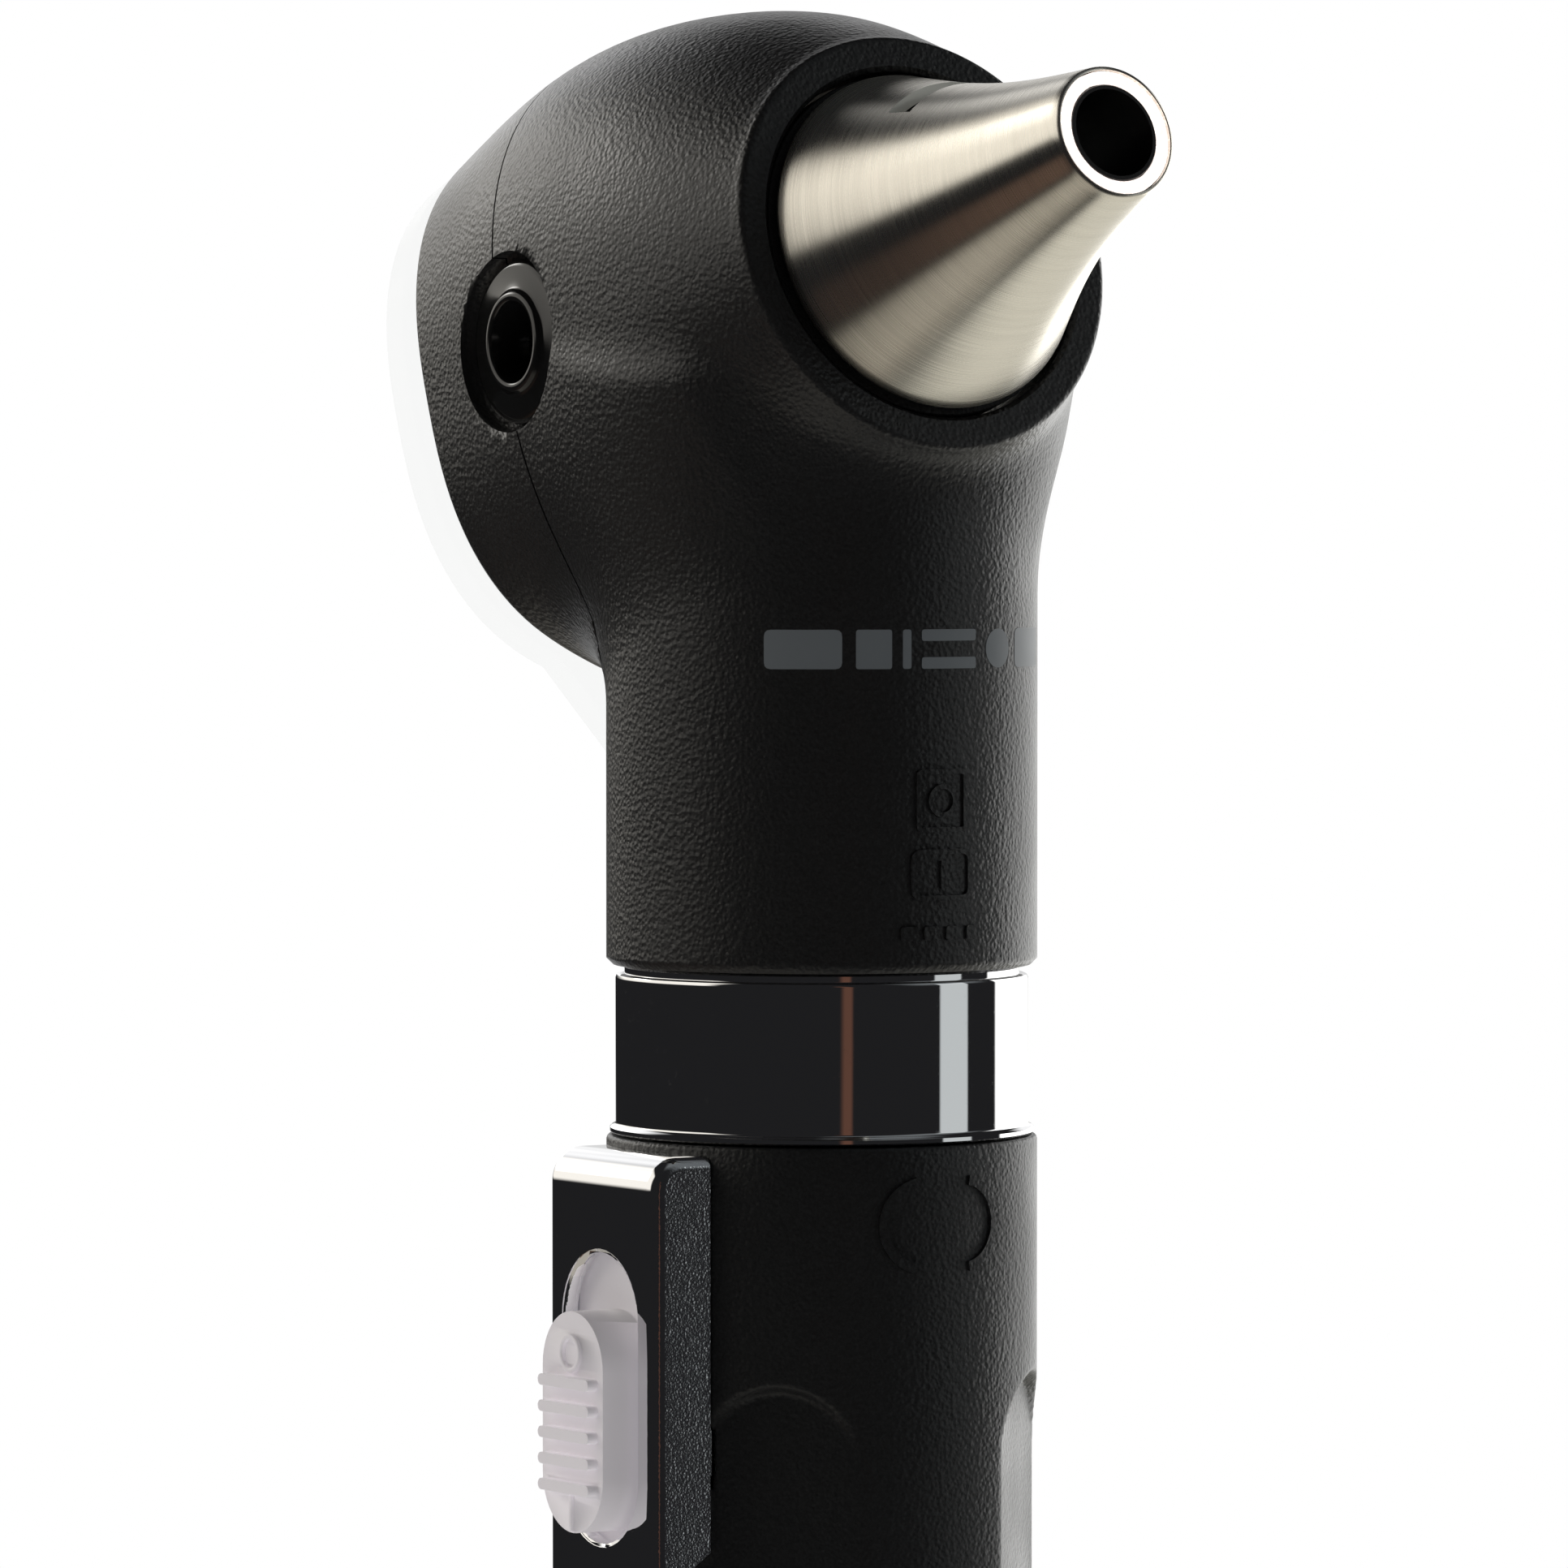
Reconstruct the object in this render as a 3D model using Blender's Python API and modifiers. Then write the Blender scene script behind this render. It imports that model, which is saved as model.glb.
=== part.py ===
"""Pocket otoscope: an oval instrument head with a steel ear-speculum cone on a two-cell battery handle.

The handle stands on its end cap at Z = 0 with its axis on Z. The cone looks towards -Y, tilted up, and the
pocket clip with its slide switch is on -X. Lengths in this file are millimetres: MM turns them into metres
where they enter Blender.
"""

from math import cos, pi, radians, sin, tan

import bmesh
import bpy
import numpy as np
from mathutils import Matrix, Vector

MM = 0.001

# Battery stack, from the bottom up: two AA cells set the handle's length and bore.
CELL_R = 7.15
CELL_LENGTH = 50.5
CELL_NUB_R = 2.75
CELL_NUB_HEIGHT = 1.2
CELL_BASE_Z = 14.3
CELL_GAP = 0.3

# Handle.
HANDLE_R = 9.5
BORE_R = 7.7
CAP_HEIGHT = 8.0
HANDLE_BASE_Z = CAP_HEIGHT + 0.3
NECK_Z = CELL_BASE_Z + 2 * CELL_LENGTH + CELL_GAP + 14.9
HANDLE_TOP_Z = NECK_Z - 7.5
GRIP_FLAT_DISTANCE = 8.76
GRIP_HALF_WIDTH = 3.68
GRIP_TOP_Z = NECK_Z - 18.3
GRIP_BASE_Z = 18.0
STRIP_GROOVE_X = 8.35
STRIP_X = 7.9
STRIP_THICKNESS = 0.3
STRIP_WIDTH = 3.0
LOWER_STRIP = (HANDLE_BASE_Z + 6.2, NECK_Z - 21.6)
UPPER_STRIP = (NECK_Z - 19.0, HANDLE_TOP_Z - 1.2)

# Screw cap.
CAP_PLUG_R = 7.25
CAP_PLUG_TOP_Z = 13.6
CAP_CUP_R = 5.9
CAP_FLOOR_Z = 2.0
THREAD_PITCH = 1.8
THREAD_TURNS = 1.5

# Chrome collar between handle and head.
COLLAR_R = 9.1
COLLAR_BORE_R = 8.05
COLLAR_GAP = 0.4
SOCKET_R = 7.55
SOCKET_BORE_R = 6.9
LUG_COUNT = 3
LUG_ANGLE = 24.0
TWIST_ANGLE = 25.0
SLOT_CLEARANCE = 5.0
LUG_TOP_Z = NECK_Z - 4.2
LUG_BASE_Z = NECK_Z - 5.6

# Pocket clip and switch.
CLIP_FACE_X = 11.5
CLIP_HALF_WIDTH = 4.4
CLIP_SHEET = 0.7
CLIP_TOP_Z = NECK_Z - 7.9
CLIP_STEP_Z = NECK_Z - 25.1
CLIP_BASE_Z = 68.0
CLIP_DEEP_EDGE_X = 8.6
CLIP_SHALLOW_EDGE_X = 10.0
SWITCH_TRAVEL = 2.3
KNOB_TOP_Z = NECK_Z - 15.2
KNOB_BASE_Z = NECK_Z - 24.85
KNOB_HALF_WIDTH = 2.65
KNOB_RIBS = 5
KNOB_RIB_PITCH = 1.14
SWITCH_SLOT_TOP_Z = KNOB_TOP_Z + SWITCH_TRAVEL + 0.2
SWITCH_SLOT_BASE_Z = KNOB_BASE_Z - 0.55
SWITCH_SLOT_HALF_WIDTH = 3.0

# Head. Stations run backwards along the optical axis from the front rim.
TILT = radians(16.65)
RIM_R = 9.23
RIM_Y = -8.17
RIM_Z = NECK_Z + 31.55
STATIONS = (0, 4, 9, 14, 19, 25, 28)
HALF_WIDTHS = (RIM_R, 10.3, 11.1, 11.35, 11.3, 11.0, 10.7)
UPPER_HALVES = (RIM_R, 11.7, 13.6, 14.5, 14.5, 13.5, 13.0)
LOWER_HALVES = (RIM_R, 10.8, 12.3, 13.2, 13.2, 12.5, 12.1)
SQUARENESS = (2.0, 2.1, 2.3, 2.45, 2.5, 2.55, 2.6)
SEAM_STATION = 17.2
REAR_STATION = 25.0
REAR_LEAN = radians(4.0)
NECK_R = 9.5
NECK_BLEND = 4.0
NECK_BLEND_FULL_STATION = 5.0
NECK_CORE_TOP = 24.0
HEAD_WALL = 1.6
PORT_Y = 8.2
PORT_Z = NECK_Z + 27.4
PORT_POCKET_R = 4.0
PORT_R = 3.6
PORT_BORE_R = 2.25
WINDOW_HOLE_HALF_WIDTH = 7.6
WINDOW_HOLE_HALF_HEIGHT = 9.6
PIVOT_DROP = 17.0
BOSS_R = 2.9

# Cone, along the optical axis forwards from the rim.
CONE_BASE_R = 7.53
CONE_TIP_R = 2.89
CONE_BASE = 0.26
CONE_TIP = 15.06
CONE_WAIST = 0.55
CONE_STEPS = 6
CONE_SLOT = (106, 52, 8.5, 4.4, 5.6)
BORE_TIP_R = 1.9
MOUTH_R = 7.85

SEGMENTS = 40
FEW_SEGMENTS = 28
FINE = 1e-6
ALL_AXES = {"use_axis_x": True, "use_axis_y": True, "use_axis_z": True}

PARTS = bpy.data.collections.new("pocket_otoscope")
CUTTERS = bpy.data.collections.new("cutters")


# ---------------------------------------------------------------- helpers


def clear_scene():
    for obj in list(bpy.data.objects):
        bpy.data.objects.remove(obj, do_unlink=True)
    bpy.context.scene.collection.children.link(PARTS)
    bpy.context.scene.collection.children.link(CUTTERS)
    CUTTERS.hide_render = True


def material(name, colour, roughness, metallic=0.0, alpha=1.0, glow=0.0):
    made = bpy.data.materials.new(name)
    made.use_nodes = True
    shader = made.node_tree.nodes["Principled BSDF"]
    shader.inputs["Base Color"].default_value = (*colour, 1.0)
    shader.inputs["Roughness"].default_value = roughness
    shader.inputs["Metallic"].default_value = metallic
    shader.inputs["Alpha"].default_value = alpha
    shader.inputs["Emission Color"].default_value = (*colour, 1.0)
    shader.inputs["Emission Strength"].default_value = glow
    return made


def add_object(name, data, finish, parent=None, place=(0, 0, 0), turn=(0, 0, 0)):
    """A new object in the parts collection, placed in millimetres, or a cutter where finish is None."""
    obj = bpy.data.objects.new(name, data)
    obj.location = Vector(place) * MM
    obj.rotation_euler = turn
    obj.parent = parent
    if finish is None:
        CUTTERS.objects.link(obj)
        obj.hide_render = True
        obj.display_type = "WIRE"
        return obj
    PARTS.objects.link(obj)
    obj.data.materials.append(finish)
    return obj


def empty(name, place, turn=(0, 0, 0)):
    obj = bpy.data.objects.new(name, None)
    obj.location = Vector(place) * MM
    obj.rotation_euler = turn
    PARTS.objects.link(obj)
    return obj


def turned(name, profile, finish, closed=False, segments=SEGMENTS, **placing):
    """A profile of (radius, height) points, down its outer side, turned about the object's Z."""
    mesh = bpy.data.meshes.new(name)
    points = [(r * MM, 0.0, z * MM) for r, z in profile]
    edges = [(i, i + 1) for i in range(len(points) - 1)]
    if closed:
        edges.append((len(points) - 1, 0))
    mesh.from_pydata(points, edges, [])
    obj = add_object(name, mesh, finish, **placing)
    screw = obj.modifiers.new("turn", "SCREW")
    screw.steps = segments
    screw.render_steps = segments
    screw.use_merge_vertices = True
    screw.merge_threshold = FINE
    screw.use_smooth_shade = True
    return obj


def ring(name, outer, inner, top, base, finish, **more):
    profile = [(outer, top), (outer, base), (inner, base), (inner, top)]
    return turned(name, profile, finish, closed=True, **more)


def disc(name, radius, top, base, finish, **more):
    return turned(name, [(0, top), (radius, top), (radius, base), (0, base)], finish, **more)


def box(name, low, high, finish, edge=0.0, parent=None, turn=(0, 0, 0), place=(0, 0, 0)):
    """A box between two corners, with edges rounded by edge."""
    bpy.ops.mesh.primitive_cube_add(size=1.0)
    cube = bpy.context.active_object
    mesh = cube.data
    bpy.data.objects.remove(cube)
    low, high = Vector(low) * MM, Vector(high) * MM
    mesh.transform(Matrix.Translation((low + high) / 2) @ Matrix.Diagonal((high - low).to_4d()))
    obj = add_object(name, mesh, finish, parent=parent, turn=turn, place=place)
    if edge:
        bevel(obj, edge)
    return obj


def bevel(obj, width, segments=2, angle=40):
    rounded = obj.modifiers.new("edges", "BEVEL")
    rounded.width = width * MM
    rounded.segments = segments
    rounded.limit_method = "ANGLE"
    rounded.angle_limit = radians(angle)
    return rounded


def as_mesh(obj):
    """The object with its curve or modifiers turned into one welded mesh, in place."""
    bpy.context.view_layer.update()
    graph = bpy.context.evaluated_depsgraph_get()
    mesh = bpy.data.meshes.new_from_object(obj.evaluated_get(graph))
    shape = bmesh.new()
    shape.from_mesh(mesh)
    bmesh.ops.remove_doubles(shape, verts=shape.verts, dist=FINE)
    shape.to_mesh(mesh)
    shape.free()
    made = bpy.data.objects.new(obj.name, mesh)
    made.parent = obj.parent
    made.matrix_world = obj.matrix_world.copy()
    made.hide_render = obj.hide_render
    made.display_type = obj.display_type
    home = obj.users_collection[0]
    name = obj.name
    bpy.data.objects.remove(obj)
    made.name = name
    home.objects.link(made)
    return made


def outline(name, points, depth, finish, **placing):
    """A flat outline in the object's XY, extruded by half its depth each way, as a mesh."""
    curve = bpy.data.curves.new(name, "CURVE")
    curve.dimensions = "2D"
    curve.fill_mode = "BOTH"
    curve.extrude = depth / 2 * MM
    spline = curve.splines.new("POLY")
    spline.points.add(len(points) - 1)
    for point, (x, y) in zip(spline.points, points):
        point.co = (x * MM, y * MM, 0.0, 1.0)
    spline.use_cyclic_u = True
    return as_mesh(add_object(name, curve, finish, **placing))


def wire(name, points, radius, finish, resolution=2, **placing):
    """A round wire through the points."""
    curve = bpy.data.curves.new(name, "CURVE")
    curve.dimensions = "3D"
    curve.bevel_depth = radius * MM
    curve.bevel_resolution = resolution
    curve.use_fill_caps = True
    spline = curve.splines.new("POLY")
    spline.points.add(len(points) - 1)
    for point, place in zip(spline.points, points):
        point.co = (*(Vector(place) * MM), 1.0)
    return as_mesh(add_object(name, curve, finish, **placing))


def boolean(obj, other, operation="DIFFERENCE"):
    modifier = obj.modifiers.new(other.name, "BOOLEAN")
    modifier.operation = operation
    modifier.object = other
    modifier.solver = "EXACT"
    return obj


def stadium(half_width, top, base, steps=10):
    """A slot outline with round ends, as (across, along) points."""
    points = []
    for centre, start in ((top - half_width, 0.0), (base + half_width, pi)):
        for i in range(steps + 1):
            angle = start + pi * i / steps
            points.append((half_width * cos(angle), centre + half_width * sin(angle)))
    return points


def helix(radius, start_z, pitch, turns, steps=24, end_radius=None):
    last = radius if end_radius is None else end_radius
    count = int(turns * steps)
    points = []
    for i in range(count + 1):
        share = i / count
        angle = 2 * pi * turns * share
        reach = radius + (last - radius) * share
        points.append((reach * cos(angle), reach * sin(angle), start_z + pitch * turns * share))
    return points


# ---------------------------------------------------------------- head surface


FORWARD = np.array([0.0, -cos(TILT), sin(TILT)])
UPWARD = np.array([0.0, sin(TILT), cos(TILT)])
SIDEWAYS = np.array([1.0, 0.0, 0.0])
RIM_CENTRE = np.array([0.0, RIM_Y, RIM_Z])


def smooth_curve(values):
    """A natural cubic spline through values at the stations."""
    xs, ys = np.array(STATIONS, float), np.array(values, float)
    steps = np.diff(xs)
    system, target = np.eye(len(xs)), np.zeros(len(xs))
    for i in range(1, len(xs) - 1):
        system[i, i - 1 : i + 2] = steps[i - 1], 2 * (steps[i - 1] + steps[i]), steps[i]
        target[i] = 6 * ((ys[i + 1] - ys[i]) / steps[i] - (ys[i] - ys[i - 1]) / steps[i - 1])
    bend = np.linalg.solve(system, target)

    def at(x):
        i = np.clip(np.searchsorted(xs, x) - 1, 0, len(steps) - 1)
        step, before, after = steps[i], x - xs[i], xs[i + 1] - x
        curved = (bend[i] * after**3 + bend[i + 1] * before**3) / (6 * step)
        left = (ys[i] / step - bend[i] * step / 6) * after
        right = (ys[i + 1] / step - bend[i + 1] * step / 6) * before
        return curved + left + right

    return at


half_width_at = smooth_curve(HALF_WIDTHS)
upper_half_at = smooth_curve(UPPER_HALVES)
lower_half_at = smooth_curve(LOWER_HALVES)
squareness_at = smooth_curve(SQUARENESS)


def body_field(points):
    """Below zero inside the oval body along the optical axis."""
    away = points - RIM_CENTRE
    station = -(away @ FORWARD)
    across, height = points[..., 0], away @ UPWARD
    reach = np.hypot(across, height) + 1e-9
    power = squareness_at(station)
    half_height = np.where(height > 0, upper_half_at(station), lower_half_at(station))
    side = (np.abs(across) / reach / half_width_at(station)) ** power
    side += (np.abs(height) / reach / half_height) ** power
    return reach - side ** (-1 / power)


def head_field(points, inset):
    """Below zero inside the head: the oval body, blended into the round neck."""
    body = body_field(points)
    station = (RIM_CENTRE - points) @ FORWARD
    neck = np.hypot(points[..., 0], points[..., 1]) - NECK_R
    neck = np.maximum(neck, points[..., 2] - NECK_Z - NECK_CORE_TOP)
    blend = NECK_BLEND * np.clip(station / NECK_BLEND_FULL_STATION, 0.03, 1)
    near = np.maximum(blend - np.abs(body - neck), 0) / blend
    return np.minimum(body, neck) - near**2 * blend / 4 + inset


def onto_surface(points, inset, rounds=8):
    """The points moved along the field's slope until they lie on the surface."""
    nudge = 1e-3
    for _ in range(rounds):
        slope = []
        for axis in np.eye(3) * nudge:
            rise = head_field(points + axis, inset) - head_field(points - axis, inset)
            slope.append(rise / (2 * nudge))
        slope = np.stack(slope, -1)
        steep = np.maximum((slope**2).sum(-1), 1e-6)
        points = points - (head_field(points, inset) / steep)[..., None] * slope
    return points


def rays_to_surface(stations, turns, inset):
    """Where rays out of the optical axis leave the head. Rays that run on into the neck stop beside it."""
    station, turn = np.meshgrid(stations, turns, indexing="ij")
    lean = np.clip((station - SEAM_STATION) / (REAR_STATION - SEAM_STATION), 0, 1) * tan(REAR_LEAN)
    start = RIM_CENTRE - station[..., None] * FORWARD
    ray = np.cos(turn)[..., None] * UPWARD - np.sin(turn)[..., None] * SIDEWAYS
    ray = ray - (lean * np.cos(turn))[..., None] * FORWARD
    near, far = np.full(station.shape, 3.0), np.full(station.shape, 16.0)
    body_reach = last_inside(lambda reach: body_field(start + reach[..., None] * ray), near, far)
    far = body_reach - inset + NECK_BLEND / 4
    reach = last_inside(lambda reach: head_field(start + reach[..., None] * ray, inset), near, far)
    points = start + reach[..., None] * ray
    swallowed = far - reach < 1e-3
    return np.where(swallowed[..., None], onto_surface(points, inset), points)


def last_inside(field, low, high):
    """Where the field along each ray changes sign, between two reaches."""
    for _ in range(30):
        middle = (low + high) / 2
        outside = field(middle) > 0
        low, high = np.where(outside, low, middle), np.where(outside, middle, high)
    return high


def head_solid(name, inset, front, rear, bottom, rings, columns, neck_rings, finish):
    """The head as one closed solid: rings along the optical axis, and a patch that runs down the neck."""
    stations = np.linspace(front, rear, rings + 1)
    turns = np.arange(columns) / columns * 2 * pi
    grid = rays_to_surface(stations, turns, inset)
    half = round(columns * 48 / 360)
    first, last, down = 1, rings - 1, columns // 2
    shape = bmesh.new()
    corners = {}

    def corner(i, j):
        key = (i, j % columns)
        if key not in corners:
            corners[key] = shape.verts.new(grid[key] * MM)
        return corners[key]

    for i in range(rings):
        for j in range(columns):
            if not (first <= i < last and -half <= j - down < half):
                shape.faces.new((corner(i, j), corner(i + 1, j), corner(i + 1, j + 1), corner(i, j + 1)))
    loop = [(first, down + j) for j in range(-half, half)]
    loop += [(i, down + half) for i in range(first, last)]
    loop += [(last, down + j) for j in range(half, -half, -1)]
    loop += [(i, down - half) for i in range(last, first, -1)]
    upper = np.array([grid[i, j % columns] for i, j in loop])
    around = np.unwrap(np.arctan2(upper[:, 1], upper[:, 0]))
    direction = np.sign(around[half + 3] - around[half])
    angles = around[half] + direction * (np.arange(len(loop)) - half) * 2 * pi / len(loop)
    lower = np.stack([np.cos(angles), np.sin(angles), np.zeros(len(loop))], -1) * (NECK_R - inset)
    lower[:, 2] = bottom
    above = [corner(i, j) for i, j in loop]
    loose = list(above)
    for step in range(1, neck_rings + 1):
        share = step / neck_rings
        points = upper * (1 - share) + lower * share
        if step < neck_rings:
            points = onto_surface(points, inset)
        below = [shape.verts.new(point * MM) for point in points]
        if step < neck_rings:
            loose += below
        for k in range(len(loop)):
            after = (k + 1) % len(loop)
            shape.faces.new((above[k], below[k], below[after], above[after]))
        above = below
    for _ in range(6):
        bmesh.ops.smooth_vert(shape, verts=loose, factor=0.5, **ALL_AXES)
        moved = onto_surface(np.array([vert.co for vert in loose]) / MM, inset)
        for vert, place in zip(loose, moved):
            vert.co = Vector(place) * MM
    bmesh.ops.holes_fill(shape, edges=[edge for edge in shape.edges if edge.is_boundary])
    bmesh.ops.recalc_face_normals(shape, faces=shape.faces)
    mesh = bpy.data.meshes.new(name)
    shape.to_mesh(mesh)
    shape.free()
    mesh.shade_smooth()
    mesh.set_sharp_from_angle(angle=radians(35))
    return add_object(name, mesh, finish)


def seam_region(name, gap):
    """The space of the rear cover: behind the seam plane, and down the back of the neck."""
    top_z, turn_z, tongue_z, tongue_base_z = RIM_Z + 16, NECK_Z + 15.0, NECK_Z + 11.0, NECK_Z + 4.5

    def seam_y(z):
        return RIM_Y + (SEAM_STATION / cos(TILT)) + (z - RIM_Z) * tan(TILT)

    side = [(seam_y(top_z), top_z), (seam_y(turn_z), turn_z), (6.0, tongue_z), (6.0, tongue_base_z)]
    points = [(y + gap, z) for y, z in side]
    points[-1] = (points[-1][0], points[-1][1] + gap)
    points += [(30.0, tongue_base_z + gap), (30.0, top_z)]
    return outline(name, points, 40.0, None, turn=(pi / 2, 0, pi / 2))


# ---------------------------------------------------------------- handle


def build_handle(finishes):
    plastic = finishes["black_plastic"]
    edge = 0.5
    profile = [
        (HANDLE_R - edge, HANDLE_TOP_Z),
        (HANDLE_R, HANDLE_TOP_Z - edge),
        (HANDLE_R, HANDLE_BASE_Z),
        (BORE_R, HANDLE_BASE_Z),
        (BORE_R, HANDLE_TOP_Z),
    ]
    handle = turned("handle_body", profile, plastic, closed=True)
    for quarter in range(4):
        angle = radians(45 + 90 * quarter)
        depth = 4.0
        reach = GRIP_FLAT_DISTANCE + depth / 2
        place = (reach * cos(angle), reach * sin(angle), 0)
        slot = stadium(GRIP_HALF_WIDTH, GRIP_TOP_Z, GRIP_BASE_Z)
        turn = (pi / 2, 0, angle + pi / 2)
        boolean(handle, outline(f"grip_cut_{quarter}", slot, depth, None, place=place, turn=turn))
    half = STRIP_WIDTH / 2 + 0.3
    for side, (low_z, high_z) in (("lower", LOWER_STRIP), ("upper", UPPER_STRIP)):
        low, high = (-STRIP_GROOVE_X, -half, low_z - 0.7), (-BORE_R + 1.5, half, high_z + 0.7)
        boolean(handle, box(f"{side}_strip_cut", low, high, None))
    pocket = box("switch_pocket", (-12.0, -3.7, NECK_Z - 29.0), (-9.2, 3.7, CLIP_TOP_Z - 1.0), None)
    boolean(handle, pocket)
    window = box("switch_window", (-12.0, -1.7, NECK_Z - 25.0), (-6.5, 1.7, NECK_Z - 15.0), None)
    boolean(handle, window)
    for side in (-1, 1):
        low_y, high_y = sorted((side * 3.5, side * 4.8))
        low, high = (-12.0, low_y, NECK_Z - 22.4), (-7.6, high_y, NECK_Z - 17.6)
        boolean(handle, box(f"tab_slot_{side}", low, high, None))
    return handle


def build_cells(finishes):
    base_z = CELL_BASE_Z
    for name in ("battery_lower", "battery_upper"):
        top_z = base_z + CELL_LENGTH
        shoulder_z = top_z - CELL_NUB_HEIGHT
        profile = [
            (0, top_z),
            (CELL_NUB_R, top_z),
            (CELL_NUB_R, shoulder_z),
            (CELL_R - 0.6, shoulder_z),
            (CELL_R, shoulder_z - 0.6),
            (CELL_R, base_z + 0.5),
            (CELL_R - 0.5, base_z),
            (0, base_z),
        ]
        turned(name, profile, finishes["cell_jacket"], segments=FEW_SEGMENTS)
        base_z = top_z + CELL_GAP


def build_ground_strips(finishes):
    copper = finishes["contact_metal"]
    half = STRIP_WIDTH / 2
    outer, inner = -STRIP_X - STRIP_THICKNESS / 2, -STRIP_X + STRIP_THICKNESS / 2
    for name, (low_z, high_z) in (("ground_strip", LOWER_STRIP), ("switched_strip", UPPER_STRIP)):
        box(name, (outer, -half, low_z), (inner, half, high_z), copper)


def build_socket(finishes):
    """The socket that takes the head's bayonet, and the contact carrier below it."""
    nylon = finishes["socket_nylon"]
    top_z, base_z = NECK_Z - 1.0, NECK_Z - 9.0
    socket = ring("bayonet_socket", SOCKET_R, SOCKET_BORE_R, top_z, base_z, nylon)
    lug_top, lug_base = LUG_TOP_Z, LUG_BASE_Z
    reach = 9.0
    for lug in range(LUG_COUNT):
        middle = 360 / LUG_COUNT * lug
        way_in = middle - TWIST_ANGLE
        sweep = LUG_ANGLE + SLOT_CLEARANCE
        boolean(socket, wedge(f"socket_entry_{lug}", way_in, sweep, reach, lug_base - 0.3, top_z + 1))
        middle -= TWIST_ANGLE / 2
        sweep += TWIST_ANGLE
        track = wedge(f"socket_track_{lug}", middle, sweep, reach, lug_base - 0.3, lug_top + 0.3)
        boolean(socket, track)
    carrier_top, lid_base, carrier_base = NECK_Z - 9.4, NECK_Z - 10.9, NECK_Z - 14.3
    profile = [
        (SOCKET_R, carrier_top),
        (SOCKET_R, carrier_base),
        (3.0, carrier_base),
        (3.0, lid_base),
        (1.8, lid_base),
        (1.8, carrier_top),
    ]
    carrier = turned("contact_carrier", profile, nylon, closed=True, segments=FEW_SEGMENTS)
    low, high = (-9.0, -1.9, carrier_base - 1), (-7.3, 1.9, carrier_top + 1)
    boolean(carrier, box("carrier_notch", low, high, None))
    low, high = (-9.0, -1.9, base_z - 1), (-7.3, 1.9, lug_base - 1.2)
    boolean(socket, box("socket_notch", low, high, None))
    tip_z, flange_z, foot_z = NECK_Z - 7.6, NECK_Z - 11.2, NECK_Z - 12.0
    profile = [
        (0, tip_z),
        (1.1, tip_z),
        (1.5, tip_z - 0.4),
        (1.5, flange_z),
        (2.6, flange_z),
        (2.6, foot_z),
        (0, foot_z),
    ]
    turned("contact_plunger", profile, finishes["contact_metal"], segments=FEW_SEGMENTS)
    spring = helix(2.2, NECK_Z - 14.2, 0.62, 3, steps=12)
    wire("contact_spring", spring, 0.2, finishes["spring_steel"], resolution=0)


def wedge(name, middle, sweep, radius, low_z, high_z, inner=4.0, **placing):
    """A ring sector about Z, as a cutter between two heights, angles in degrees."""
    steps = max(2, round(sweep / 7.5))
    angles = [radians(middle - sweep / 2 + sweep * i / steps) for i in range(steps + 1)]
    points = [(radius * cos(a), radius * sin(a)) for a in angles]
    points += [(inner * cos(a), inner * sin(a)) for a in reversed(angles)]
    middle_z = (low_z + high_z) / 2
    return outline(name, points, high_z - low_z, None, place=(0, 0, middle_z), **placing)


def build_collar(finishes):
    top_z, base_z = NECK_Z - COLLAR_GAP, HANDLE_TOP_Z + 0.1
    edge, flange = 0.3, 0.25
    profile = [
        (COLLAR_R - edge, top_z),
        (COLLAR_R, top_z - edge),
        (COLLAR_R, base_z + flange + 0.15),
        (COLLAR_R + flange, base_z + flange),
        (COLLAR_R + flange, base_z),
        (COLLAR_BORE_R, base_z),
        (COLLAR_BORE_R, top_z),
    ]
    turned("collar_ring", profile, finishes["chrome"], closed=True)


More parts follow.
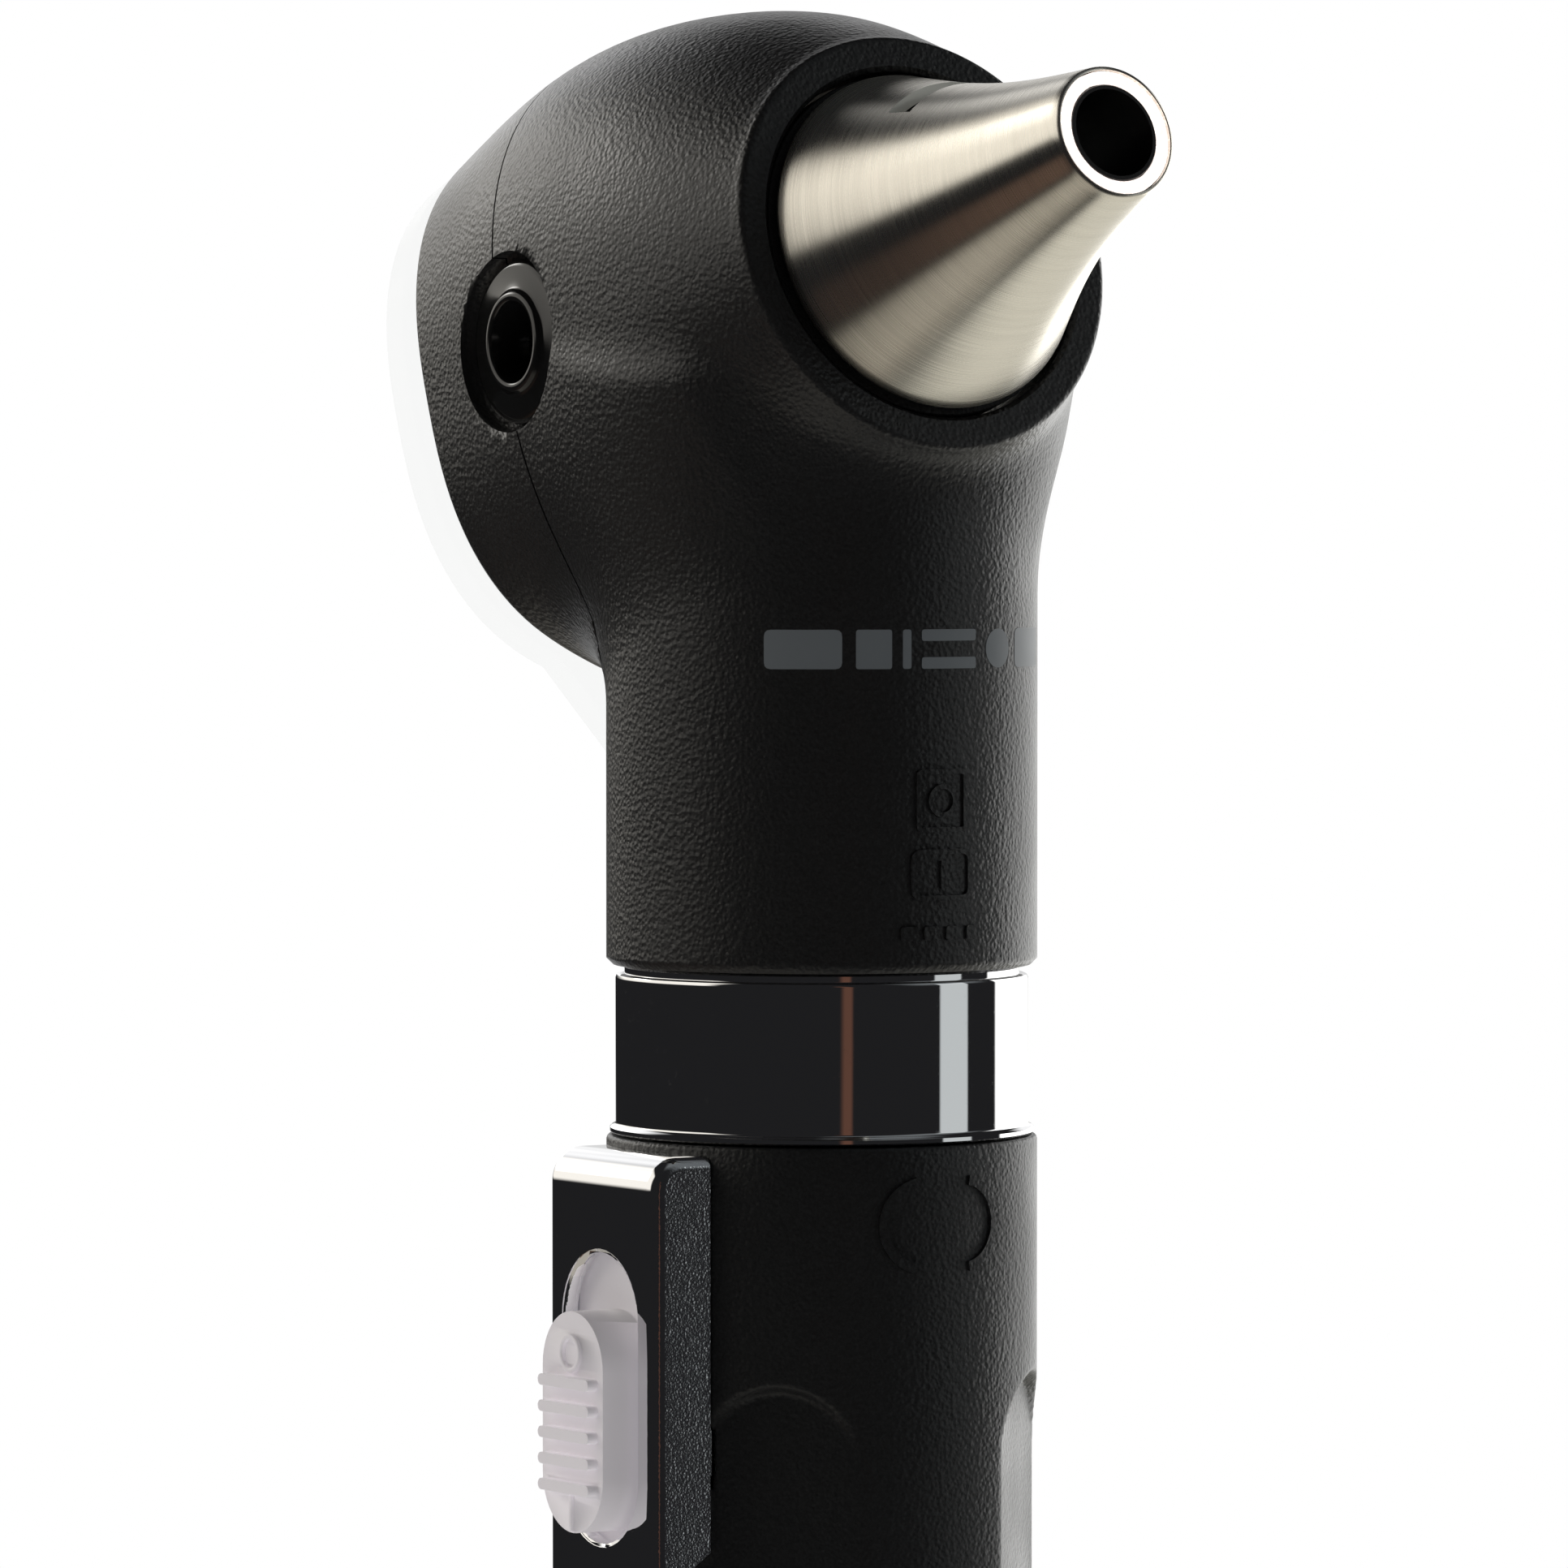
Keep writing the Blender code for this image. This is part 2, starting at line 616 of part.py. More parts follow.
def build_clip(finishes):
    """A folded sheet channel: deep flanges round the switch, shallow ones down the tongue."""
    face, sheet, half = CLIP_FACE_X, CLIP_SHEET, CLIP_HALF_WIDTH
    deep, shallow, curl = CLIP_DEEP_EDGE_X, CLIP_SHALLOW_EDGE_X, 1.5
    side = [(-deep, CLIP_TOP_Z), (-face + curl, CLIP_TOP_Z)]
    for i in range(1, 5):
        angle = pi / 2 + pi / 2 * i / 4
        side.append((-face + curl + curl * cos(angle), CLIP_TOP_Z - curl + curl * sin(angle)))
    side += [(-face, CLIP_BASE_Z + 9), (-face - 0.9, CLIP_BASE_Z + 1.0), (-face - 0.7, CLIP_BASE_Z)]
    side += [(-face + 0.3, CLIP_BASE_Z), (-shallow, CLIP_BASE_Z + 9)]
    side += [(-shallow, CLIP_STEP_Z - 1.0), (-deep, CLIP_STEP_Z)]
    clip = outline("pocket_clip", side, 2 * half, finishes["chrome"], turn=(pi / 2, 0, 0))
    bevel(clip, 0.6, segments=2, angle=60)
    channel = [(-5.0, CLIP_TOP_Z - sheet), (-face + sheet, CLIP_TOP_Z - sheet)]
    channel += [(-face + sheet, CLIP_BASE_Z + 9), (-face + sheet - 1.2, CLIP_BASE_Z - 1.7)]
    channel += [(-5.0, CLIP_BASE_Z - 1.7)]
    boolean(clip, outline("clip_channel", channel, 2 * (half - sheet), None, turn=(pi / 2, 0, 0)))
    boolean(clip, disc("clip_saddle", HANDLE_R + 0.2, CLIP_TOP_Z + 2, CLIP_BASE_Z - 2, None))
    slot = stadium(SWITCH_SLOT_HALF_WIDTH, SWITCH_SLOT_TOP_Z, SWITCH_SLOT_BASE_Z)
    boolean(clip, outline("clip_slot", slot, 6.0, None, place=(-face, 0, 0), turn=(pi / 2, 0, pi / 2)))
    for edge in (-1, 1):
        low_y, high_y = sorted((edge * 3.85, edge * 4.25))
        tab = box(f"clip_tab_{edge}", (-9.4, low_y, NECK_Z - 21.8), (-7.9, high_y, NECK_Z - 18.2), None)
        boolean(clip, tab, "UNION")
    low, high = (-11.4, -1.5, CLIP_BASE_Z + 6.0), (-9.8, 1.5, CLIP_BASE_Z + 8.4)
    bump = box("clip_bump", low, high, None, edge=0.5)
    boolean(clip, bump, "UNION")


def build_switch(finishes):
    """The slider: a base plate behind the clip's slot, a ribbed knob, and a foot with the contact leaf."""
    plastic = finishes["grey_plastic"]
    knob_middle = (KNOB_TOP_Z + KNOB_BASE_Z) / 2
    knob_half = (KNOB_TOP_Z - KNOB_BASE_Z) / 2
    plate_low, plate_high = NECK_Z - 28.0 - knob_middle, NECK_Z - 12.3 - knob_middle
    origin = empty("switch_axis", (-10.0, 0, knob_middle))
    low, high = (-0.5, -3.4, plate_low), (0.3, 3.4, plate_high)
    slider = box("switch_slider", low, high, plastic, edge=0.2, parent=origin)
    knob = outline(
        "knob_body",
        stadium(KNOB_HALF_WIDTH, knob_half, -knob_half),
        2.9,
        None,
        parent=origin,
        place=(-1.45, 0, 0),
        turn=(pi / 2, 0, pi / 2),
    )
    bevel(knob, 0.4, segments=2)
    boolean(slider, knob, "UNION")
    for rib in range(KNOB_RIBS):
        z = 1.75 - KNOB_RIB_PITCH * rib
        low, high = (-3.4, -2.1, z - 0.25), (-2.7, 2.1, z + 0.25)
        boolean(slider, box(f"knob_rib_{rib}", low, high, None, parent=origin), "UNION")
    foot = box("knob_foot", (0.0, -1.2, -1.5), (1.3, 1.2, 1.5), None, parent=origin)
    boolean(slider, foot, "UNION")
    low, high = (1.4, -1.0, -2.6), (1.7, 1.0, 2.6)
    box("switch_contact", low, high, finishes["contact_metal"], edge=0.1, parent=origin)


def build_cap(finishes):
    edge = 1.0
    groove_base, groove_top, groove_r = CAP_HEIGHT + 0.9, CAP_HEIGHT + 2.1, 6.5
    profile = [
        (CAP_CUP_R, CAP_PLUG_TOP_Z),
        (CAP_PLUG_R, CAP_PLUG_TOP_Z),
        (CAP_PLUG_R, groove_top),
        (groove_r, groove_top),
        (groove_r, groove_base),
        (CAP_PLUG_R, groove_base),
        (CAP_PLUG_R, CAP_HEIGHT),
        (HANDLE_R - 0.3, CAP_HEIGHT),
        (HANDLE_R, CAP_HEIGHT - 0.3),
        (HANDLE_R, edge),
        (HANDLE_R - edge, 0),
        (0, 0),
        (0, CAP_FLOOR_Z),
        (CAP_CUP_R, CAP_FLOOR_Z),
    ]
    cap = turned("end_cap", profile, finishes["black_metal"], closed=True)
    thread = helix(7.2, groove_top + 0.5, THREAD_PITCH, THREAD_TURNS, steps=20)
    boolean(cap, wire("cap_thread", thread, 0.25, None, resolution=0), "UNION")
    seal_z = (groove_base + groove_top) / 2
    turns = [2 * pi * i / 6 for i in range(6)]
    circle = [(7.1 + 0.4 * cos(turn), seal_z - 0.4 * sin(turn)) for turn in turns]
    turned("cap_seal", circle, finishes["rubber"], closed=True, segments=FEW_SEGMENTS)
    profile = [(0, 3.0), (1.6, 3.0), (2.2, 2.7), (5.5, 2.7), (5.5, 2.3), (0, 2.3)]
    turned("cap_contact", profile, finishes["contact_metal"], segments=FEW_SEGMENTS)
    coil = helix(5.0, 3.45, 2.05, 5, steps=12, end_radius=3.2)
    wire("battery_spring", coil, 0.4, finishes["spring_steel"], resolution=0)


# ---------------------------------------------------------------- head


def build_housing(finishes):
    """The front housing and the rear cover: one hollow form parted at the seam."""
    plastic = finishes["black_plastic"]
    front = head_solid("head_housing", 0.0, 0.0, REAR_STATION, NECK_Z, 12, 44, 8, plastic)
    rear = add_object("rear_cover", front.data.copy(), plastic)
    rear.data.materials.clear()
    rear.data.materials.append(plastic)
    hollow_rear, hollow_base = REAR_STATION - 1.9, NECK_Z - 1.0
    hollow = head_solid("head_hollow", HEAD_WALL, 1.8, hollow_rear, hollow_base, 8, 32, 5, None)
    boolean(front, hollow)
    boolean(rear, hollow)
    boolean(front, seam_region("rear_region", 0.0))
    boolean(rear, seam_region("cover_region", 0.15), "INTERSECT")
    return front, rear


def build_front(finishes, optical, front):
    """The cone, the fibre ring and the sight tube, on the optical axis."""
    mouth = disc("mouth_cut", MOUTH_R, 1.0, -4.0, None, parent=optical)
    boolean(front, mouth)
    seat = [(7.7, -0.35), (7.7, -1.7), (5.6, -1.7), (5.6, -0.35)]
    turned("cone_seat", seat, finishes["black_plastic"], closed=True, parent=optical)
    wall = 0.5
    outer, inner = [], []
    for i in range(CONE_STEPS + 1):
        share = i / CONE_STEPS
        radius = CONE_BASE_R + (CONE_TIP_R - CONE_BASE_R) * share
        radius -= CONE_WAIST * sin(pi * share)
        along = CONE_BASE + (CONE_TIP - CONE_BASE) * share
        outer.append((radius, along))
        inner.append((radius - wall + (wall - 0.17) * share**4, along))
    profile = outer[::-1] + [(CONE_BASE_R, 0.0), (inner[0][0], 0.0)] + inner
    steel = finishes["brushed_steel"]
    cone = turned("speculum_cone", profile, steel, closed=True, parent=optical)
    boolean(cone, wedge("cone_slot", *CONE_SLOT, parent=optical))
    gap, tube_wall = 0.08, 0.25
    sleeve_outer = [(r - gap, z) for r, z in inner[1:]]
    bore = [(BORE_TIP_R + 3.3 * (1 - i / CONE_STEPS) ** 1.4, z) for i, (_, z) in enumerate(inner)]
    sleeve_inner = [(r + tube_wall + gap, z) for r, z in bore[1:]]
    face = CONE_TIP - 0.05
    sleeve_outer[-1] = (sleeve_outer[-1][0], face)
    sleeve_inner[-1] = (sleeve_inner[-1][0], face)
    profile = sleeve_outer[::-1] + sleeve_inner
    turned("fibre_ring", profile, finishes["fibre_light"], closed=True, parent=optical)
    tube = [(r + tube_wall, z) for r, z in reversed(bore)]
    tube += [(bore[0][0] + tube_wall, -2.6), (bore[0][0], -2.6)] + bore
    tube[0] = (tube[0][0], CONE_TIP - 0.3)
    tube[-1] = (tube[-1][0], CONE_TIP - 0.3)
    turned("sight_tube", tube, finishes["black_plastic"], closed=True, parent=optical)


def build_port(finishes, front, rear):
    """The insufflation port, clamped in the seam on the left side."""
    place = (0, PORT_Y, PORT_Z)
    turn = (0, -pi / 2, 0)
    surface = 11.3
    floor, end = surface - 0.95, surface - 5
    hole_r = 3.0
    step = [(0, surface + 3), (PORT_POCKET_R, surface + 3), (PORT_POCKET_R, floor)]
    step += [(hole_r, floor), (hole_r, end), (0, end)]
    pocket = turned("port_pocket", step, None, place=place, turn=turn)
    boolean(front, pocket)
    boolean(rear, pocket)
    lip_r = PORT_BORE_R + 0.45
    profile = [
        (lip_r, surface - 0.25),
        (lip_r + 0.1, surface - 0.55),
        (PORT_R - 0.2, surface - 0.5),
        (PORT_R, surface - 0.65),
        (PORT_R, surface - 0.85),
        (2.8, surface - 0.85),
        (2.8, surface - 3.6),
        (PORT_BORE_R, surface - 3.6),
        (PORT_BORE_R, surface - 0.25),
    ]
    gloss = finishes["gloss_plastic"]
    placing = {"segments": FEW_SEGMENTS, "place": place, "turn": turn}
    turned("insufflation_port", profile, gloss, closed=True, **placing)


def oval(half_width, half_up, half_down, power, count=48):
    """A squared oval as (across, up) points."""
    points = []
    for i in range(count):
        angle = 2 * pi * i / count
        across, up = cos(angle), sin(angle)
        half = half_up if up > 0 else half_down
        reach = (abs(across / half_width) ** power + abs(up / half) ** power) ** (-1 / power)
        points.append((across * reach, up * reach))
    return points


def build_window(finishes, rear, window):
    """The rear opening, its gasket, and the clear window that swings on a pin at the neck."""
    hole = oval(WINDOW_HOLE_HALF_WIDTH, WINDOW_HOLE_HALF_HEIGHT, WINDOW_HOLE_HALF_HEIGHT, 2.2, 40)
    boolean(rear, outline("window_hole", hole, 7.0, None, parent=window))
    at_pivot = {"segments": FEW_SEGMENTS, "parent": window, "place": (0, -PIVOT_DROP, 0)}
    boolean(rear, disc("pivot_boss", BOSS_R, 1.6, -0.75, None, **at_pivot), "UNION")
    boolean(rear, disc("pivot_hole", 1.25, 4.0, -4.0, None, **at_pivot))
    rim = oval(9.0, 11.0, 10.8, 2.3)
    gasket = outline("window_gasket", rim, 0.6, finishes["rubber"], parent=window, place=(0, 0, -0.45))
    boolean(gasket, outline("gasket_hole", oval(7.9, 9.9, 9.8, 2.2), 3.0, None, parent=window))
    near, far = -1.05, -2.55
    pivot = empty("window_pivot", (0, 0, 0))
    pivot.parent = window
    pivot.location = Vector((0, -PIVOT_DROP, 0)) * MM
    pane = outline(
        "lens_window",
        pane_outline(),
        near - far,
        finishes["clear_plastic"],
        parent=pivot,
        place=(0, 0, (near + far) / 2),
    )
    bevel(pane, 0.25, segments=1)
    boolean(pane, disc("pane_hole", 1.5, 1.0, -4.0, None, segments=FEW_SEGMENTS, parent=pivot))
    profile = [(0, 1.2), (1.0, 1.2), (1.0, -2.75), (2.2, -2.75), (2.2, -3.1), (1.7, -3.5), (0, -3.5)]
    turned("window_pivot_pin", profile, finishes["chrome"], **at_pivot)


def pane_outline():
    """The window's outline about its pivot: an oval with a tab that narrows to the pin."""
    tab_r = 2.9
    body = [(x, y + PIVOT_DROP) for x, y in oval(10.9, 13.4, 12.4, 2.5, 56)]
    body = [point for point in body if point[1] > 5.6]
    body.sort(key=lambda point: np.arctan2(point[0], point[1] - PIVOT_DROP))
    foot = [(tab_r * cos(a), tab_r * sin(a)) for a in np.linspace(radians(15), radians(-195), 15)]
    return body + foot


def build_lamp(finishes):
    """Inside the neck: the bayonet base, the lamp's heat sink, the lamp and its contact pin."""
    flange_top, flange_base, tube_base = NECK_Z + 2.0, NECK_Z + 0.3, NECK_Z - 6.8
    profile = [(7.6, flange_top), (7.6, flange_base), (6.5, flange_base)]
    profile += [(6.5, tube_base), (5.3, tube_base), (5.3, flange_top)]
    base = turned("bayonet_base", profile, finishes["chrome"], closed=True)
    for lug in range(LUG_COUNT):
        middle = 360 / LUG_COUNT * lug
        block = wedge(f"bayonet_lug_{lug}", middle, LUG_ANGLE, 7.35, LUG_BASE_Z, LUG_TOP_Z, inner=6.0)
        boolean(base, block, "UNION")
    nylon = finishes["socket_nylon"]
    ring("lamp_insulator", 5.15, 1.4, NECK_Z + 1.9, NECK_Z - 6.0, nylon, segments=FEW_SEGMENTS)
    pin_top, pin_base = NECK_Z + 9.0, NECK_Z - 7.3
    profile = [(0, pin_top), (1.2, pin_top), (1.2, pin_base + 0.9)]
    profile += [(2.0, pin_base + 0.9), (2.0, pin_base), (0, pin_base)]
    turned("lamp_contact", profile, finishes["contact_metal"], segments=FEW_SEGMENTS)
    sink_base, sink_top = NECK_Z + 2.4, NECK_Z + 11.0
    fins, fin_r, root_r, fin_height = 3, 7.3, 5.6, 1.6
    fin_pitch = (sink_top - sink_base - fin_height) / (fins - 1)
    profile = []
    for fin in range(fins):
        high = sink_top - fin * fin_pitch
        profile += [(fin_r, high), (fin_r, high - fin_height), (root_r, high - fin_height)]
        profile += [(root_r, high - fin_pitch)]
    profile = profile[:-2]
    profile += [(1.6, sink_base), (1.6, sink_top - 1.6), (3.4, sink_top - 1.6), (3.4, sink_top)]
    sink = finishes["aluminium"]
    turned("lamp_heat_sink", profile, sink, closed=True, segments=FEW_SEGMENTS)
    dome = [(2.4 * sin(a), NECK_Z + 11.6 + 2.4 * cos(a)) for a in np.linspace(0, pi / 2, 6)]
    dome[0] = (0, dome[0][1])
    profile = dome + [(3.1, NECK_Z + 11.6), (3.1, NECK_Z + 9.7), (0, NECK_Z + 9.7)]
    turned("led_lamp", profile, finishes["lamp_glass"], segments=FEW_SEGMENTS)
    guide = [(0.0, 14.4), (-0.4, 16.0), (-1.4, 17.6), (-3.0, 19.2), (-4.9, 20.8), (-6.6, 22.6)]
    guide = [(0, y, z + NECK_Z) for y, z in guide]
    wire("light_guide", guide, 1.4, finishes["fibre_glass"], resolution=2)


def main():
    clear_scene()
    finishes = {
        "black_plastic": material("black_plastic", (0.018, 0.018, 0.019), 0.5),
        "gloss_plastic": material("gloss_plastic", (0.01, 0.01, 0.01), 0.15),
        "black_metal": material("black_metal", (0.02, 0.02, 0.021), 0.35, metallic=0.6),
        "grey_plastic": material("grey_plastic", (0.58, 0.55, 0.58), 0.5),
        "chrome": material("chrome", (0.8, 0.8, 0.81), 0.08, metallic=1.0),
        "brushed_steel": material("brushed_steel", (0.62, 0.58, 0.52), 0.3, metallic=1.0),
        "aluminium": material("aluminium", (0.7, 0.7, 0.72), 0.35, metallic=1.0),
        "contact_metal": material("contact_metal", (0.75, 0.55, 0.25), 0.3, metallic=1.0),
        "spring_steel": material("spring_steel", (0.6, 0.6, 0.6), 0.25, metallic=1.0),
        "rubber": material("rubber", (0.02, 0.02, 0.02), 0.8),
        "socket_nylon": material("socket_nylon", (0.05, 0.05, 0.055), 0.6),
        "cell_jacket": material("cell_jacket", (0.03, 0.09, 0.2), 0.35, metallic=0.5),
        "clear_plastic": material("clear_plastic", (0.95, 0.97, 0.97), 0.03, alpha=0.3),
        "lamp_glass": material("lamp_glass", (0.95, 0.93, 0.85), 0.1, alpha=0.6),
        "fibre_glass": material("fibre_glass", (0.85, 0.85, 0.8), 0.3),
        "fibre_light": material("fibre_light", (1.0, 0.97, 0.93), 0.4, glow=3.0),
    }
    optical = empty("optical_axis", RIM_CENTRE, turn=(pi / 2 - TILT, 0, 0))
    rear_centre = RIM_CENTRE - REAR_STATION * FORWARD
    window = empty("window_plane", rear_centre, turn=(pi / 2 - TILT - REAR_LEAN, 0, 0))
    build_handle(finishes)
    build_cells(finishes)
    build_ground_strips(finishes)
    build_socket(finishes)
    build_collar(finishes)
    build_clip(finishes)
    build_switch(finishes)
    build_cap(finishes)
    front, rear = build_housing(finishes)
    build_front(finishes, optical, front)
    build_port(finishes, front, rear)
    build_window(finishes, rear, window)
    build_lamp(finishes)


main()
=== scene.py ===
"""Looks for the pocket otoscope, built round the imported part.

Lengths are millimetres in the row frame, and MM turns them into metres where they enter Blender. The
solids that show are replaced by finer pieces of the same size. Sizes repeat those of the part, so that
every piece fits the others.
"""

from math import atan2, cos, pi, radians, sin, tan

import bmesh
import bpy
import numpy as np
from mathutils import Matrix, Vector


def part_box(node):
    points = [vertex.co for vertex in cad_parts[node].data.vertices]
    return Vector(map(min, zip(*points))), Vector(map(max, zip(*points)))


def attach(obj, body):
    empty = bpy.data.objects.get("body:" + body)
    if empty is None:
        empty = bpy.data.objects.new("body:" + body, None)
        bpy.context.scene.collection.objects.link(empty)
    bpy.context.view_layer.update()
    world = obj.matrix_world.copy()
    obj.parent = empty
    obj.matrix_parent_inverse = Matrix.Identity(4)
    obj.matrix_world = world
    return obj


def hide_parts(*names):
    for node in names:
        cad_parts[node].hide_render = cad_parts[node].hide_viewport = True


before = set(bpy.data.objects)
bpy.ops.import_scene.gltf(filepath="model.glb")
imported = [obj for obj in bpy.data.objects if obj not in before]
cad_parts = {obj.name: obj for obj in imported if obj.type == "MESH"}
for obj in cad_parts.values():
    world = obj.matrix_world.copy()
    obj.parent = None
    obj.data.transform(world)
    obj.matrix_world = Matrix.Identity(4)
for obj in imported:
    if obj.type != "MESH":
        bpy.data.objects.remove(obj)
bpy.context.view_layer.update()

MM = 0.001
WELD = 1e-7
TINY = 1e-6

NECK_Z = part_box("head_housing")[0].z / MM
HANDLE_TOP_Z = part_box("handle_body")[1].z / MM
HANDLE_BASE_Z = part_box("handle_body")[0].z / MM
CLIP_BASE_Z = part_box("pocket_clip")[0].z / MM

# The part's sizes.
HANDLE_R = 9.5
BORE_R = 7.7
GRIP_FLAT_DISTANCE = 8.76
GRIP_HALF_WIDTH = 3.68
GRIP_TOP_Z = NECK_Z - 17.8
GRIP_BASE_Z = 18.0
GRIP_EDGE_WIDTH = 0.55
COLLAR_R = 9.1
COLLAR_BORE_R = 8.05
COLLAR_FLANGE = 0.25
CLIP_FACE_X = 11.5
CLIP_HALF_WIDTH = 4.4
CLIP_SHEET = 0.7
CLIP_TOP_Z = NECK_Z - 7.9
CLIP_STEP_Z = NECK_Z - 25.1
CLIP_DEEP_EDGE_X = 8.6
CLIP_SHALLOW_EDGE_X = 10.0
SWITCH_X = 10.0
KNOB_TOP_Z = NECK_Z - 14.75
KNOB_BASE_Z = NECK_Z - 24.4
KNOB_MIDDLE_Z = (KNOB_TOP_Z + KNOB_BASE_Z) / 2
KNOB_HALF_WIDTH = 2.5
KNOB_RIBS = 5
KNOB_RIB_PITCH = 1.14
SLOT_TOP_Z = KNOB_TOP_Z + 2.5
SLOT_BASE_Z = KNOB_BASE_Z - 0.55
SLOT_HALF_WIDTH = 3.0

TILT = radians(16.65)
REAR_LEAN = radians(4.0)
RIM_R = 9.23
RIM_Y = -8.17
RIM_Z = NECK_Z + 31.55
STATIONS = (0, 4, 9, 14, 19, 25, 28)
HALF_WIDTHS = (RIM_R, 10.3, 11.1, 11.35, 11.3, 11.0, 10.7)
UPPER_HALVES = (RIM_R, 11.7, 13.6, 14.5, 14.5, 13.5, 13.0)
LOWER_HALVES = (RIM_R, 10.8, 12.3, 13.2, 13.2, 12.5, 12.1)
SQUARENESS = (2.0, 2.1, 2.3, 2.45, 2.5, 2.55, 2.6)
SEAM_STATION = 17.2
REAR_STATION = 25.0
NECK_R = 9.5
NECK_BLEND = 4.0
NECK_BLEND_FULL_STATION = 5.0
NECK_CORE_TOP = 24.0
NECK_PATCH_HALF_DEGREES = 48
HEAD_WALL = 1.6
MOUTH_R = 7.85
PORT_Y = 8.2
PORT_Z = NECK_Z + 27.4
PORT_SURFACE = 11.3
PORT_R = 3.6
PORT_BORE_R = 1.8
PIVOT_DROP = 17.0
CONE_BASE_R = 7.53
CONE_TIP_R = 2.89
CONE_BASE = 0.26
CONE_TIP = 15.06
CONE_WAIST = 0.55

FORWARD = np.array([0.0, -cos(TILT), sin(TILT)])
UPWARD = np.array([0.0, sin(TILT), cos(TILT)])
SIDEWAYS = np.array([1.0, 0.0, 0.0])
REARWARD = np.array([0.0, cos(TILT + REAR_LEAN), -sin(TILT + REAR_LEAN)])
RIM_CENTRE = np.array([0.0, RIM_Y, RIM_Z])
REAR_CENTRE = RIM_CENTRE - REAR_STATION * FORWARD
OPTICAL = {"place": tuple(RIM_CENTRE), "turn": (pi / 2 - TILT, 0, 0)}
WINDOW_TURN = (pi / 2 - TILT - REAR_LEAN, 0, 0)
WINDOW = {"place": tuple(REAR_CENTRE), "turn": WINDOW_TURN}
PIVOT_POINT = REAR_CENTRE - PIVOT_DROP * np.cross(SIDEWAYS, REARWARD)
PIVOT = {"place": tuple(PIVOT_POINT), "turn": WINDOW_TURN}
PORT = {"place": (0, PORT_Y, PORT_Z), "turn": (0, -pi / 2, 0)}
SWITCH = {"place": (-SWITCH_X, 0, KNOB_MIDDLE_Z)}
FACING_FRONT = (pi / 2, 0, pi / 2)


# ---------------------------------------------------------------- camera and light


CAMERA_DISTANCE = 400.0
CAMERA_AZIMUTH = radians(-32.8)
CAMERA_PITCH = radians(1.865)
CAMERA_LENS = 208.4
LOOK_AT = Vector((-1.4, 0.9, NECK_Z + 7.906))

RIGHT = Vector((cos(CAMERA_AZIMUTH), sin(CAMERA_AZIMUTH), 0))
LEVEL_BACK = Vector((sin(CAMERA_AZIMUTH), -cos(CAMERA_AZIMUTH), 0))
BACK = LEVEL_BACK * cos(CAMERA_PITCH) + Vector((0, 0, sin(CAMERA_PITCH)))
UP = BACK.cross(RIGHT)


def make_camera():
    data = bpy.data.cameras.new("camera")
    data.sensor_width = 36.0
    data.lens = CAMERA_LENS
    data.clip_end = 100.0
    camera = bpy.data.objects.new("camera", data)
    turn = Matrix((RIGHT, UP, BACK)).transposed().to_4x4()
    camera.matrix_world = Matrix.Translation((LOOK_AT + BACK * CAMERA_DISTANCE) * MM) @ turn
    bpy.context.scene.collection.objects.link(camera)
    bpy.context.scene.camera = camera


class Nodes:
    """A short way to write a node tree."""

    def __init__(self, tree):
        self.tree = tree

    def add(self, kind, **settings):
        node = self.tree.nodes.new(kind)
        for key, value in settings.items():
            setattr(node, key, value)
        return node

    def put(self, value, socket):
        if isinstance(value, bpy.types.NodeSocket):
            self.tree.links.new(value, socket)
        else:
            socket.default_value = value

    def math(self, operation, *values, clamp=False):
        node = self.add("ShaderNodeMath", operation=operation, use_clamp=clamp)
        for value, socket in zip(values, node.inputs):
            self.put(value, socket)
        return node.outputs[0]

    def dot(self, vector, axis):
        node = self.add("ShaderNodeVectorMath", operation="DOT_PRODUCT")
        self.put(vector, node.inputs[0])
        self.put(tuple(axis), node.inputs[1])
        return node.outputs["Value"]

    def ramp(self, value, low, high, to_low=0.0, to_high=1.0):
        node = self.add("ShaderNodeMapRange", interpolation_type="SMOOTHSTEP")
        for item, socket in zip((value, low, high, to_low, to_high), node.inputs):
            self.put(item, socket)
        return node.outputs[0]

    def noise(self, vector, scale, detail=2.0, roughness=0.5):
        node = self.add("ShaderNodeTexNoise")
        self.put(vector, node.inputs["Vector"])
        node.inputs["Scale"].default_value = scale
        node.inputs["Detail"].default_value = detail
        node.inputs["Roughness"].default_value = roughness
        return node.outputs["Fac"]

    def voronoi(self, vector, scale, feature="F1", smoothness=1.0):
        node = self.add("ShaderNodeTexVoronoi", feature=feature)
        self.put(vector, node.inputs["Vector"])
        node.inputs["Scale"].default_value = scale
        if feature == "SMOOTH_F1":
            node.inputs["Smoothness"].default_value = smoothness
        return node.outputs["Distance"]

    def stretched(self, vector, scale):
        node = self.add("ShaderNodeMapping")
        self.put(vector, node.inputs["Vector"])
        node.inputs["Scale"].default_value = scale
        return node.outputs[0]

    def mix(self, factor, first, second):
        node = self.add("ShaderNodeMix", data_type="RGBA")
        self.put(factor, node.inputs["Factor"])
        colours = [socket for socket in node.inputs if socket.type == "RGBA"]
        self.put(first, colours[0])
        self.put(second, colours[1])
        return next(socket for socket in node.outputs if socket.type == "RGBA")

    def bump(self, height, strength, distance, onto=None):
        node = self.add("ShaderNodeBump")
        self.put(height, node.inputs["Height"])
        node.inputs["Strength"].default_value = strength
        node.inputs["Distance"].default_value = distance * MM
        if onto is not None:
            self.put(onto, node.inputs["Normal"])
        return node.outputs[0]

    def into(self, shader, **inputs):
        """Joins what is made to the shader's inputs, named with _ for each space."""
        for key, value in inputs.items():
            self.put(value, shader.inputs[key.replace("_", " ")])


